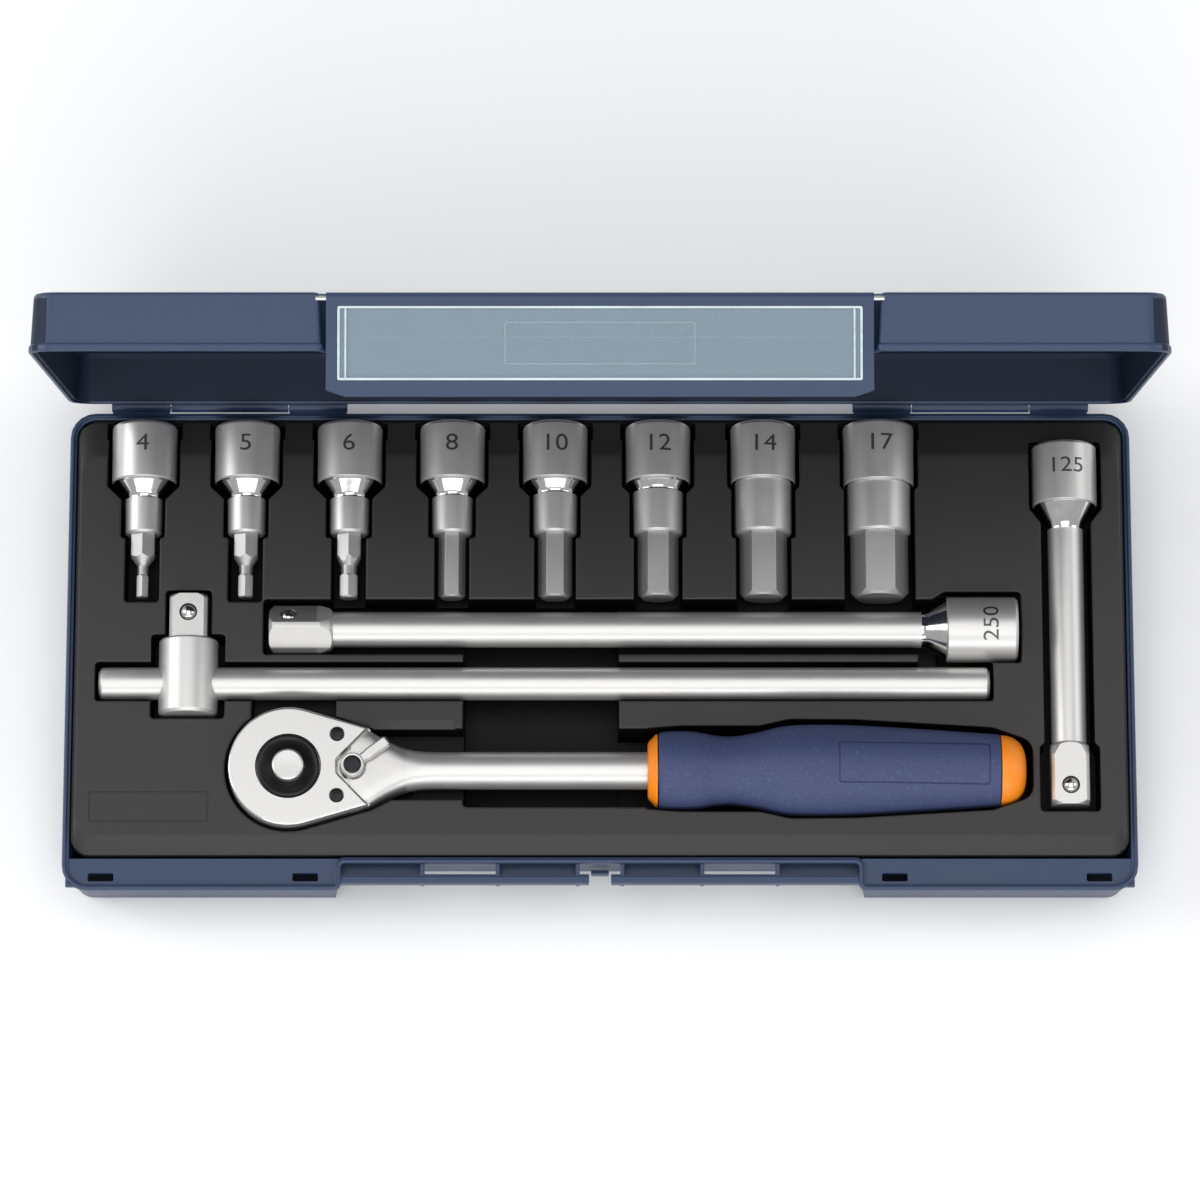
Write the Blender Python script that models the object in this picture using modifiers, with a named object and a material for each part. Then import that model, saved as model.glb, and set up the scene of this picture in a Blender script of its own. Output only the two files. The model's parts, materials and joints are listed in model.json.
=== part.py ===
"""Half-inch hex-bit socket wrench set in a hinged plastic case.

Frame: origin at the centre of the case's bottom face, +X to the right along the case,
+Y towards the hinges, +Z up. Lengths are in metres. The case stands open, with every
tool in its pocket of the tray.
"""

import math
from collections import namedtuple

import bmesh
import bpy
from mathutils import Matrix

MM = 0.001

# Fits between pieces
SEAT_GAP = 0.3 * MM
PRESS_GAP = 0.15 * MM
KNUCKLE_GAP = 0.4 * MM
OVERLAP = 0.3 * MM

# Case shells
CASE_LENGTH = 360.0 * MM
CASE_DEPTH = 165.3 * MM
BASE_HEIGHT = 30.0 * MM
LID_HEIGHT = 19.0 * MM
CASE_WALL = 2.2 * MM
CASE_FLOOR = 2.0 * MM
CORNER_RADIUS = 8.5 * MM
BASE_DRAFT = 3.0 * MM
LID_DRAFT = 1.5 * MM
PARTING_GAP = 0.3 * MM
LID_OPEN_ANGLE = math.radians(80)

# Hinges between base and lid
HINGE_CENTRE = 126.0 * MM
HINGE_LENGTH = 80.0 * MM
HINGE_OUTER_SHARE = 0.25
KNUCKLE_RADIUS = 2.2 * MM
HINGE_OFFSET = KNUCKLE_RADIUS + 0.35 * MM
HINGE_PIN_RADIUS = 1.0 * MM
HINGE_WEB = 2.0 * MM

# Latch: a recess in the front of both shells, a keeper bar and a flap on the lid
RECESS_HALF = 86.6 * MM
BASE_RECESS_DEPTH = 9.05 * MM
LID_RECESS_DEPTH = 4.4 * MM
KEEPER_FRONT = 2.45 * MM
KEEPER_WIDTH = 2.6 * MM
KEEPER_HEIGHT = 4.0 * MM
KEEPER_DROP = 1.0 * MM
KEEPER_GAP = 3.7 * MM
RIB_THICKNESS = 1.2 * MM
RIB_PLACES = (7.5 * MM, 34.2 * MM, 59.5 * MM)
RIB_HEIGHT = 7.0 * MM
CELL_FLOOR = 1.5 * MM
FLAP_HALF = 86.0 * MM
FLAP_HEIGHT = 33.0 * MM
FLAP_THICKNESS = 2.0 * MM
FLAP_BARREL_RADIUS = 1.9 * MM
FLAP_PIN_RADIUS = 0.8 * MM
FLAP_PIN_LENGTH = 6.0 * MM
FLAP_CHAMFER = 6.0 * MM
WINDOW_SIDE_BAR = 3.4 * MM
WINDOW_TOP_BAR = 4.3 * MM
WINDOW_BOTTOM_BAR = 4.9 * MM
WINDOW_THICKNESS = 0.8 * MM
WINDOW_LEDGE = 2.0 * MM
CARD_THICKNESS = 0.3 * MM

# Shelf and slots in the front of the base
SHELF_DROP = 1.5 * MM
SHELF_THICKNESS = 2.0 * MM
SLOT_LENGTH = 8.4 * MM
SLOT_WIDTH = 2.6 * MM
SLOT_PLACES = (98.6 * MM, 167.0 * MM)
SLOT_FROM_FRONT = 4.6 * MM
SHELF_END_GAP = 3.2 * MM

# Tool tray
TRAY_TOP = BASE_HEIGHT + 4.0 * MM
TRAY_SHOULDER = BASE_HEIGHT - 0.5 * MM
TRAY_SIDE_GAP = 0.6 * MM
TRAY_SIDE_BEVEL = 1.6 * MM
TRAY_FRONT_BEVEL = 5.8 * MM
TRAY_BACK_RAMP = 13.0 * MM
POCKET_GAP = 1.2 * MM
TIP_GAP = 2.0 * MM
CUT_ABOVE = 8.0 * MM
FINGER_LEFT = -46.0 * MM
FINGER_RIGHT = 6.3 * MM
FINGER_BOTTOM = 13.0 * MM
FINGER_HALF = 13.2 * MM
SHAFT_POCKET_HALF = 10.7 * MM
COLLAR_POCKET_LENGTH = 8.0 * MM
HEAD_GAP_LEFT = -13.0 * MM
HEAD_GAP_RIGHT = 15.5 * MM
HEAD_GAP_FRONT = 12.0 * MM
CONE_GAP = 9.0 * MM
DIVIDER_BOTTOM = -28.3 * MM
CHANNEL_TOP = 16.4 * MM
CHANNEL_BOTTOM = 0.1 * MM
CHANNEL_END_GAP = 1.6 * MM
SHORTEST_STEP = 0.2 * MM

# What all the half-inch tools share
AXIS_HEIGHT = BASE_HEIGHT
DRIVE_SQUARE = 12.7 * MM
DRIVE_HOLE = DRIVE_SQUARE + 0.3 * MM
DRIVE_HOLE_DEPTH = 15.5 * MM
DRIVE_TURNED_RADIUS = DRIVE_SQUARE / 2 + 1.85 * MM
BALL_RADIUS = 3.0 * MM
BALL_PROUD = 1.2 * MM
BALL_FROM_TIP = 6.5 * MM
BALL_HOLE_DEPTH = 8.5 * MM
SPRING_WIRE = 0.35 * MM
SPRING_RADIUS = 2.2 * MM
SPRING_LENGTH = 1.4 * MM
SPRING_TURNS = 2
ROUND_SIDES = 16

# Hex-bit sockets, drive end first
SOCKET_LENGTH = 38.0 * MM
SOCKET_BACK = 77.6 * MM
SOCKET_EDGE = 0.7 * MM
BIT_REACH = 22.0 * MM
BIT_INSIDE = 14.0 * MM
BIT_SHANK = 8.0 * MM
Socket = namedtuple("Socket", "size place body_radius body_length neck_radius shoulder")
SOCKETS = (
    Socket(4, -154.6 * MM, 11.0 * MM, 20.0 * MM, 6.2 * MM, 5.0 * MM),
    Socket(5, -119.75 * MM, 11.0 * MM, 20.0 * MM, 6.4 * MM, 5.0 * MM),
    Socket(6, -84.9 * MM, 11.0 * MM, 20.0 * MM, 6.6 * MM, 5.0 * MM),
    Socket(8, -50.05 * MM, 11.0 * MM, 20.0 * MM, 6.8 * MM, 4.6 * MM),
    Socket(10, -15.2 * MM, 11.0 * MM, 20.0 * MM, 7.4 * MM, 3.6 * MM),
    Socket(12, 19.65 * MM, 11.0 * MM, 20.0 * MM, 8.4 * MM, 2.8 * MM),
    Socket(14, 55.3 * MM, 11.0 * MM, 20.0 * MM, 9.6 * MM, 0.6 * MM),
    Socket(17, 94.5 * MM, 12.0 * MM, 21.0 * MM, 10.7 * MM, 0.6 * MM),
)

# Extension bars, drive end first
EXTENSION_HEAD_RADIUS = 11.0 * MM
EXTENSION_SHANK_RADIUS = 5.9 * MM
EXTENSION_CONE = 7.5 * MM
EXTENSION_SQUARE = 16.0 * MM
EXTENSION_COLLAR = 5.5 * MM
LONG_LENGTH = 252.0 * MM
LONG_HEAD = 24.0 * MM
LONG_RIGHT = 140.6 * MM
LONG_LINE = 6.7 * MM
LONG_TURN = math.radians(45)
SHORT_LENGTH = 125.0 * MM
SHORT_HEAD = 21.0 * MM
SHORT_BACK = 70.5 * MM
SHORT_PLACE = 157.5 * MM

# Sliding T-handle
ROD_RADIUS = 5.5 * MM
ROD_LENGTH = 299.5 * MM
ROD_LEFT = -168.5 * MM
ROD_LINE = -12.0 * MM
SLIDER_PLACE = -138.6 * MM
SLIDER_RADIUS = 10.0 * MM
SLIDER_BODY = 26.5 * MM
SLIDER_SQUARE = 15.0 * MM
SLIDER_BACK = 18.0 * MM
SLIDER_BORE_GAP = 0.2 * MM
ROD_BALL_RADIUS = 2.2 * MM
ROD_BALL_DEPTH = 15.0 * MM
ROD_SPRING_RADIUS = 1.6 * MM

# Ratchet
HEAD_PLACE = -104.3 * MM
RATCHET_LINE = -42.0 * MM
HEAD_RADIUS = 20.2 * MM
HEAD_CORNER_REACH = 27.3 * MM
HEAD_CORNER_HALF = 13.0 * MM
NECK_REACH = 40.3 * MM
HEAD_BOTTOM = AXIS_HEIGHT - 10.0 * MM
HEAD_TOP = AXIS_HEIGHT + 8.0 * MM
NOTCH_HALF = 2.2 * MM
NOTCH_GAP = 1.2 * MM
COVER_THICKNESS = 2.4 * MM
HEAD_FLOOR = 2.6 * MM
SHAFT_RADIUS = 6.3 * MM
SHAFT_END = 112.0 * MM
GEAR_RADIUS = 14.6 * MM
GEAR_ROOT = 13.2 * MM
GEAR_TEETH = 30
GEAR_GAP = 0.5 * MM
DRIVE_NECK_RADIUS = 10.2 * MM
DRIVE_TIP = HEAD_BOTTOM - 15.0 * MM
RING_RADIUS = 10.5 * MM
RING_PROUD = 0.9 * MM
BUTTON_RADIUS = 5.3 * MM
BUTTON_PROUD = 3.0 * MM
BUTTON_STEM = 3.2 * MM
BUTTON_TRAVEL = 2.5 * MM
BUTTON_HEAD = 3.0 * MM
BUTTON_ROOM = 9.0 * MM
BUTTON_SPRING_RADIUS = 4.4 * MM
LEVER_REACH = 21.6 * MM
LEVER_HUB_RADIUS = 4.0 * MM
LEVER_STEM_RADIUS = 2.8 * MM
LEVER_ARM = 13.0 * MM
LEVER_WIDTH = 4.0 * MM
LEVER_THICKNESS = 3.0 * MM
LEVER_ANGLE = math.radians(36)
LEVER_CAP_RADIUS = 2.9 * MM
LEVER_CAP_DEPTH = 1.0 * MM
PLUNGER_RADIUS = 1.0 * MM
PLUNGER_LENGTH = 2.4 * MM
PLUNGER_WALL = 0.8 * MM
PLUNGER_SPRING_RADIUS = 0.75 * MM
PLUNGER_WIRE = 0.2 * MM
PAWL_REACH = 16.6 * MM
PAWL_SIZE = (2.6 * MM, 11.0 * MM, 9.0 * MM)
PAWL_ANGLE = math.radians(4)
PAWL_TOOTH_STEP = 3.0 * MM
PAWL_ROOM_HALF = 7.5 * MM
SCREW_RADIUS = 2.25 * MM
SCREW_PLACES = ((16.3 * MM, 11.0 * MM), (16.3 * MM, -10.0 * MM))
SCREW_SHANK = 1.2 * MM
SCREW_LENGTH = 7.0 * MM
SCREW_HEAD = 1.1 * MM
SCREW_SINK = 1.4 * MM
SCREW_RECESS_RADIUS = 1.2 * MM
SCREW_RECESS_DEPTH = 0.8 * MM
COLLAR_LEFT = 16.0 * MM
COLLAR_LENGTH = 3.3 * MM
COLLAR_RADIUS = 11.2 * MM
GRIP_RIGHT = 134.0 * MM
CAP_LENGTH = 8.6 * MM
CAP_SPIGOT = 15.0 * MM
GRIP_GAP = 0.3 * MM

FRONT = -CASE_DEPTH / 2
BACK = CASE_DEPTH / 2
HINGE_LINE = BACK + HINGE_OFFSET
LID_TOP = BASE_HEIGHT + PARTING_GAP + LID_HEIGHT
RECESS_WALL = FRONT + BASE_RECESS_DEPTH
LID_RECESS_WALL = FRONT + LID_RECESS_DEPTH
TRAY_FRONT = RECESS_WALL + CASE_WALL + TRAY_SIDE_GAP
TRAY_BACK = BACK - CASE_WALL - TRAY_SIDE_GAP
TRAY_HALF = CASE_LENGTH / 2 - CASE_WALL - TRAY_SIDE_GAP
TRAY_CORNER = CORNER_RADIUS - CASE_WALL
POCKET_TOP = TRAY_TOP + CUT_ABOVE
FLAP_TOP = LID_TOP - PARTING_GAP
FLAP_LINE = FRONT + FLAP_BARREL_RADIUS
FLAP_PIVOT = FLAP_TOP - FLAP_BARREL_RADIUS
GRIP_LEFT = COLLAR_LEFT + COLLAR_LENGTH + GRIP_GAP
COVER_BOTTOM = HEAD_TOP - COVER_THICKNESS
GEAR_BOTTOM = HEAD_BOTTOM + HEAD_FLOOR + GEAR_GAP
GEAR_TOP = COVER_BOTTOM - GEAR_GAP

# Grip radius at each distance from its front end
GRIP_STATIONS = (
    (0.0, 12.6 * MM),
    (2.0 * MM, 13.2 * MM),
    (12.0 * MM, 13.2 * MM),
    (19.0 * MM, 11.9 * MM),
    (25.0 * MM, 11.6 * MM),
    (33.0 * MM, 12.9 * MM),
    (42.0 * MM, 15.0 * MM),
    (52.0 * MM, 15.5 * MM),
    (66.0 * MM, 15.3 * MM),
    (92.0 * MM, 13.8 * MM),
    (113.6 * MM, 12.3 * MM),
)


# ---------------------------------------------------------------- helpers


def clear_scene():
    for obj in list(bpy.data.objects):
        bpy.data.objects.remove(obj, do_unlink=True)


def new_collection(name):
    collection = bpy.data.collections.new(name)
    bpy.context.scene.collection.children.link(collection)
    return collection


clear_scene()
PARTS = new_collection("socket_wrench_set")
CUTTERS = new_collection("cutters")


def material(name, colour, roughness, metallic=0.0, alpha=1.0):
    found = bpy.data.materials.get(name)
    if found:
        return found
    made = bpy.data.materials.new(name)
    made.use_nodes = True
    shader = made.node_tree.nodes["Principled BSDF"]
    shader.inputs["Base Color"].default_value = (*colour, 1.0)
    shader.inputs["Roughness"].default_value = roughness
    shader.inputs["Metallic"].default_value = metallic
    shader.inputs["Alpha"].default_value = alpha
    return made


def case_plastic():
    return material("case_blue_plastic", (0.028, 0.052, 0.135), 0.45)


def tray_plastic():
    return material("tray_black_plastic", (0.02, 0.02, 0.02), 0.55)


def chrome():
    return material("satin_chrome", (0.62, 0.62, 0.61), 0.28, 1.0)


def bit_steel():
    return material("phosphated_steel", (0.2, 0.2, 0.2), 0.45, 1.0)


def spring_steel():
    return material("spring_steel", (0.45, 0.45, 0.46), 0.35, 1.0)


def dark_steel():
    return material("blackened_steel", (0.02, 0.02, 0.022), 0.4, 0.6)


def grip_rubber():
    return material("navy_grip", (0.035, 0.045, 0.125), 0.6)


def orange_plastic():
    return material("orange_plastic", (1.0, 0.22, 0.01), 0.4)


def window_plastic():
    return material("clear_window", (0.75, 0.85, 0.9), 0.1, 0.0, 0.4)


def card_stock():
    return material("label_card", (0.3, 0.38, 0.45), 0.7)


def mesh_object(name, bm, collection=None):
    mesh = bpy.data.meshes.new(name)
    bm.to_mesh(mesh)
    bm.free()
    obj = bpy.data.objects.new(name, mesh)
    (collection or CUTTERS).objects.link(obj)
    return obj


def box(name, low, high):
    bm = bmesh.new()
    bmesh.ops.create_cube(bm, size=1.0)
    size = [b - a for a, b in zip(low, high)]
    middle = [(a + b) / 2 for a, b in zip(low, high)]
    bmesh.ops.scale(bm, vec=size, verts=bm.verts)
    bmesh.ops.translate(bm, vec=middle, verts=bm.verts)
    return mesh_object(name, bm)


def rounded_block(name, low, high, radius, bottom_inset=0.0, top_inset=0.0, segments=4):
    """A box with rounded upright corners, narrowed by an inset at its bottom or top."""
    bm = bmesh.new()
    bmesh.ops.create_cube(bm, size=1.0)
    size = [b - a for a, b in zip(low, high)]
    middle = [(a + b) / 2 for a, b in zip(low, high)]
    bmesh.ops.scale(bm, vec=size, verts=bm.verts)
    upright = [e for e in bm.edges if abs(e.verts[0].co.z - e.verts[1].co.z) > size[2] / 2]
    bmesh.ops.bevel(
        bm, geom=upright, offset=radius, affect="EDGES", segments=segments, profile=0.5, material=-1
    )
    for inset, side in ((bottom_inset, -1), (top_inset, 1)):
        if not inset:
            continue
        ring = [v for v in bm.verts if v.co.z * side > 0]
        shrink = (1 - 2 * inset / size[0], 1 - 2 * inset / size[1], 1.0)
        bmesh.ops.scale(bm, vec=shrink, verts=ring)
    bmesh.ops.translate(bm, vec=middle, verts=bm.verts)
    return mesh_object(name, bm)


def cylinder(name, radius, start, end, axis="Z", centre=(0.0, 0.0), sides=ROUND_SIDES, end_radius=None):
    """A cylinder from start to end along an axis; centre gives its other two coordinates."""
    bm = bmesh.new()
    bmesh.ops.create_cone(
        bm,
        cap_ends=True,
        segments=sides,
        radius1=radius,
        radius2=radius if end_radius is None else end_radius,
        depth=end - start,
    )
    bmesh.ops.translate(bm, vec=(0, 0, (start + end) / 2), verts=bm.verts)
    if axis == "X":
        bmesh.ops.rotate(bm, matrix=Matrix.Rotation(math.pi / 2, 3, "Y"), verts=bm.verts)
        bmesh.ops.translate(bm, vec=(0, centre[0], centre[1]), verts=bm.verts)
    elif axis == "Y":
        bmesh.ops.rotate(bm, matrix=Matrix.Rotation(-math.pi / 2, 3, "X"), verts=bm.verts)
        bmesh.ops.translate(bm, vec=(centre[0], 0, centre[1]), verts=bm.verts)
    else:
        bmesh.ops.translate(bm, vec=(centre[0], centre[1], 0), verts=bm.verts)
    return mesh_object(name, bm)


def ball(name, radius):
    bm = bmesh.new()
    bmesh.ops.create_uvsphere(bm, u_segments=10, v_segments=6, radius=radius)
    return mesh_object(name, bm)


def turned(name, stations, sides=ROUND_SIDES, hollow=False):
    """A profile of (height, radius) stations turned about Z. A hollow one closes on itself."""
    bm = bmesh.new()
    points = [(radius, 0.0, height) for height, radius in reversed(stations)]
    if not hollow:
        points = [(0.0, 0.0, points[0][2])] + points + [(0.0, 0.0, points[-1][2])]
    verts = [bm.verts.new(point) for point in points]
    for first, second in zip(verts, verts[1:]):
        bm.edges.new((first, second))
    if hollow:
        bm.edges.new((verts[-1], verts[0]))
    obj = mesh_object(name, bm)
    screw = obj.modifiers.new("turn", "SCREW")
    screw.axis = "Z"
    screw.angle = math.tau
    screw.steps = sides
    screw.render_steps = sides
    screw.use_merge_vertices = True
    screw.merge_threshold = 0.00001
    return settle(obj)


def settle(obj):
    """The object's evaluated shape as a plain mesh at its place, with its doubles merged."""
    bpy.context.view_layer.update()
    graph = bpy.context.evaluated_depsgraph_get()
    mesh = bpy.data.meshes.new_from_object(obj.evaluated_get(graph))
    mesh.transform(obj.matrix_world)
    bm = bmesh.new()
    bm.from_mesh(mesh)
    bmesh.ops.remove_doubles(bm, verts=bm.verts, dist=0.000001)
    bm.to_mesh(mesh)
    bm.free()
    name = obj.name
    bpy.data.objects.remove(obj, do_unlink=True)
    made = bpy.data.objects.new(name, mesh)
    CUTTERS.objects.link(made)
    return made


def prism(name, outline, bottom, top):
    """A flat outline of (x, y) points made solid from bottom to top."""
    curve = bpy.data.curves.new(name, "CURVE")
    curve.dimensions = "2D"
    curve.fill_mode = "BOTH"
    curve.extrude = (top - bottom) / 2
    spline = curve.splines.new("POLY")
    spline.points.add(len(outline) - 1)
    for point, (x, y) in zip(spline.points, outline):
        point.co = (x, y, 0.0, 1.0)
    spline.use_cyclic_u = True
    obj = bpy.data.objects.new(name, curve)
    CUTTERS.objects.link(obj)
    obj.location.z = (top + bottom) / 2
    return settle(obj)


def arc(centre, radius, start, end, steps):
    """Points of an arc in degrees, from start to end."""
    span = [math.radians(start + (end - start) * i / steps) for i in range(steps + 1)]
    return [(centre[0] + radius * math.cos(a), centre[1] + radius * math.sin(a)) for a in span]


def combine(part, other, operation, solver="EXACT"):
    """A Boolean between two shapes in the same local space; the second follows the first."""
    other.parent = part
    other.hide_render = True
    other.display_type = "WIRE"
    boolean = part.modifiers.new(other.name, "BOOLEAN")
    boolean.operation = operation
    boolean.solver = solver
    boolean.object = other


def cut(part, *cutters, solver="EXACT"):
    for cutter in cutters:
        combine(part, cutter, "DIFFERENCE", solver)


def add(part, *pieces):
    for piece in pieces:
        combine(part, piece, "UNION")


def finish(obj, made_of, location=(0, 0, 0), rotation=(0, 0, 0), parent=None):
    """Makes a shape a part: its material, smooth shading, place and parent."""
    CUTTERS.objects.unlink(obj)
    PARTS.objects.link(obj)
    obj.data.materials.clear()
    obj.data.materials.append(made_of)
    obj.data.shade_smooth()
    obj.data.set_sharp_from_angle(angle=math.radians(30))
    obj.location = location
    obj.rotation_euler = rotation
    obj.parent = parent
    return obj


def joint_empty(name, location, parent=None):
    empty = bpy.data.objects.new(name, None)
    empty.location = location
    empty.parent = parent
    PARTS.objects.link(empty)
    return empty


def hang(empty, place, *objects):
    """Parents objects that were modelled in the world's frame to an empty at a place."""
    for obj in objects:
        obj.parent = empty
        obj.matrix_parent_inverse = Matrix.Translation([-value for value in place])


# ---------------------------------------------------------------- case base


def recess_box(name, half, wall, bottom, top, grow):
    """The latch recess at the front of a shell, grown by a wall's thickness."""
    return box(name, (-half - grow, FRONT - 5 * MM, bottom), (half + grow, wall + grow, top))


def base_shell_body():
    half = CASE_LENGTH / 2
    shell = rounded_block(
        "bottom_shell", (-half, FRONT, 0), (half, BACK, BASE_HEIGHT), CORNER_RADIUS, BASE_DRAFT
    )
    low = (-half + CASE_WALL, FRONT + CASE_WALL, CASE_FLOOR)
    high = (half - CASE_WALL, BACK - CASE_WALL, 2 * BASE_HEIGHT - CASE_FLOOR)
    hollow = rounded_block("base_hollow", low, high, CORNER_RADIUS - CASE_WALL)
    taper_hollow(hollow, BASE_DRAFT, CASE_FLOOR, BASE_HEIGHT)
    below, above = -5 * MM, BASE_HEIGHT + CUT_ABOVE
    cut(hollow, recess_box("recess_wall_keep", RECESS_HALF, RECESS_WALL, below, 3 * above, CASE_WALL))
    cut(shell, hollow, recess_box("base_recess", RECESS_HALF, RECESS_WALL, below, above, 0))
    return shell


def taper_hollow(hollow, draft, bottom, rim):
    """Gives a hollow the draft of the shell around it, so that the wall stays even."""
    mesh = hollow.data
    length = max(v.co.x for v in mesh.vertices)
    depth = max(v.co.y for v in mesh.vertices)
    for vertex in mesh.vertices:
        inset = draft * (1 - (vertex.co.z - bottom) / (rim - bottom))
        vertex.co.x *= 1 - inset / length
        vertex.co.y *= 1 - inset / depth


def shelf(side):
    """The ledge in front of the tray, with its two slots."""
    top = BASE_HEIGHT - SHELF_DROP
    inner = RECESS_HALF + CASE_WALL / 2
    outer = CASE_LENGTH / 2 - CASE_WALL - SHELF_END_GAP
    ends = sorted((side * inner, side * outer))
    ledge = box(
        f"shelf_{ends[0] > 0}",
        (ends[0], FRONT + CASE_WALL / 2, top - SHELF_THICKNESS),
        (ends[1], RECESS_WALL + CASE_WALL - OVERLAP, top),
    )
    for place in SLOT_PLACES:
        x = side * place
        y = FRONT + SLOT_FROM_FRONT
        cut(
            ledge,
            box(
                f"slot_{ledge.name}_{round(place / MM)}",
                (x - SLOT_LENGTH / 2, y - SLOT_WIDTH / 2, top - 2 * SHELF_THICKNESS),
                (x + SLOT_LENGTH / 2, y + SLOT_WIDTH / 2, top + SHELF_THICKNESS),
            ),
        )
    return ledge


def keeper_bar(side):
    """One half of the latch's keeper bar, with its ribs and cell floors."""
    top = BASE_HEIGHT - KEEPER_DROP
    front = FRONT + KEEPER_FRONT
    back = front + KEEPER_WIDTH
    behind = RECESS_WALL + CASE_WALL / 2
    inner, outer = side * KEEPER_GAP, side * (RECESS_HALF + CASE_WALL / 2)
    ends = sorted((inner, outer))
    name = f"keeper_{ends[0] > 0}"
    bar = box(name, (ends[0], front, top - KEEPER_HEIGHT), (ends[1], back, top))
    for place in RIB_PLACES:
        x = side * place
        add(
            bar,
            box(
                f"{name}_rib_{round(place / MM)}",
                (x - RIB_THICKNESS / 2, front + 0.5 * MM, top - RIB_HEIGHT),
                (x + RIB_THICKNESS / 2, behind, top - 0.5 * MM),
            ),
        )
    for start, end in ((RIB_PLACES[0], RIB_PLACES[1]), (RIB_PLACES[2], RECESS_HALF + CASE_WALL / 3)):
        ends = sorted((side * start, side * end))
        add(
            bar,
            box(
                f"{name}_floor_{round(start / MM)}",
                (ends[0], front + 1.0 * MM, top - RIB_HEIGHT + 0.3 * MM),
                (ends[1], behind, top - RIB_HEIGHT + 0.3 * MM + CELL_FLOOR),
            ),
        )
    return bar


def knuckle(name, start, end, web_low, web_high, outwards):
    """One hinge knuckle on its web. The web reaches back to the shell's wall."""
    barrel = cylinder(name, KNUCKLE_RADIUS, start, end, "X", (HINGE_LINE, BASE_HEIGHT), 16)
    web = box(
        f"{name}_web",
        (start + OVERLAP, BACK - outwards, web_low),
        (end - OVERLAP, HINGE_LINE, web_high),
    )
    add(barrel, web)
    return barrel


def hinge_spans(side):
    """The three knuckle spans of one hinge: outer, middle and outer."""
    start = side * HINGE_CENTRE - HINGE_LENGTH / 2
    share = HINGE_LENGTH * HINGE_OUTER_SHARE
    first = (start, start + share - KNUCKLE_GAP / 2)
    middle = (start + share + KNUCKLE_GAP / 2, start + HINGE_LENGTH - share - KNUCKLE_GAP / 2)
    last = (start + HINGE_LENGTH - share + KNUCKLE_GAP / 2, start + HINGE_LENGTH)
    return first, middle, last


def hinge_bore(side, name):
    start = side * HINGE_CENTRE - HINGE_LENGTH / 2 - 2 * MM
    end = start + HINGE_LENGTH + 4 * MM
    radius = HINGE_PIN_RADIUS + PRESS_GAP
    return cylinder(f"{name}_bore_{side}", radius, start, end, "X", (HINGE_LINE, BASE_HEIGHT), 12)


def base_shell():
    shell = base_shell_body()
    for side in (-1, 1):
        add(shell, shelf(side), keeper_bar(side))
        first, _, last = hinge_spans(side)
        for start, end in (first, last):
            name = f"base_knuckle_{round(start / MM)}"
            web_low, web_high = BASE_HEIGHT - HINGE_WEB, BASE_HEIGHT - OVERLAP
            add(shell, knuckle(name, start, end, web_low, web_high, CASE_WALL / 2))
        cut(shell, hinge_bore(side, "base"))
    finish(shell, case_plastic())


def hinge_pin(side, name):
    start = side * HINGE_CENTRE - HINGE_LENGTH / 2 + 1 * MM
    pin = cylinder(name, HINGE_PIN_RADIUS, 0, HINGE_LENGTH - 2 * MM, "X", sides=12)
    finish(pin, spring_steel(), (start, HINGE_LINE, BASE_HEIGHT))


# ---------------------------------------------------------------- lid and latch flap


def lid_shell(empty, place):
    half = CASE_LENGTH / 2
    bottom = BASE_HEIGHT + PARTING_GAP
    shell = rounded_block(
        "lid_shell", (-half, FRONT, bottom), (half, BACK, LID_TOP), CORNER_RADIUS, 0, LID_DRAFT
    )
    low = (-half + CASE_WALL, FRONT + CASE_WALL, bottom - LID_HEIGHT)
    high = (half - CASE_WALL, BACK - CASE_WALL, LID_TOP - CASE_WALL)
    hollow = rounded_block("lid_hollow", low, high, CORNER_RADIUS - CASE_WALL)
    taper_hollow(hollow, LID_DRAFT, LID_TOP - CASE_WALL, bottom)
    below, above = 0.0, LID_TOP + CUT_ABOVE
    keep = (-LID_TOP, 2 * LID_TOP)
    cut(hollow, recess_box("lid_recess_keep", RECESS_HALF, LID_RECESS_WALL, *keep, CASE_WALL))
    cut(shell, hollow, recess_box("lid_recess", RECESS_HALF, LID_RECESS_WALL, below, above, 0))
    for side in (-1, 1):
        _, (start, end), _ = hinge_spans(side)
        name = f"lid_knuckle_{side}"
        web_low = bottom + OVERLAP
        add(shell, knuckle(name, start, end, web_low, bottom + HINGE_WEB, CASE_WALL / 2))
        cut(shell, hinge_bore(side, "lid"), flap_pin_bore(side, "lid"))
    finish(shell, case_plastic())
    hang(empty, place, shell)


def flap_pin_bore(side, name):
    reach = FLAP_PIN_LENGTH / 2 + 0.4 * MM
    centre = side * (FLAP_HALF + RECESS_HALF) / 2
    radius = FLAP_PIN_RADIUS + PRESS_GAP
    line = (FLAP_LINE, FLAP_PIVOT)
    return cylinder(f"{name}_flap_bore_{side}", radius, centre - reach, centre + reach, "X", line, 12)


def flap_pin(side, name, empty, place):
    centre = side * (FLAP_HALF + RECESS_HALF) / 2
    half = FLAP_PIN_LENGTH / 2
    pin = cylinder(name, FLAP_PIN_RADIUS, centre - half, centre + half, "X", (FLAP_LINE, FLAP_PIVOT), 12)
    finish(pin, spring_steel())
    hang(empty, place, pin)


def upright_plate(name, outline, front, back):
    """A plate that stands in the XZ plane: its outline is (x, z) points."""
    plate = prism(name, outline, -back, -front)
    plate.data.transform(Matrix.Rotation(math.pi / 2, 4, "X"))
    return plate


def window_outline(grow):
    left = -FLAP_HALF + WINDOW_SIDE_BAR - grow
    bottom = FLAP_TOP - FLAP_HEIGHT + WINDOW_BOTTOM_BAR - grow
    top = FLAP_TOP - WINDOW_TOP_BAR + grow
    return (left, bottom), (-left, top)


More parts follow.
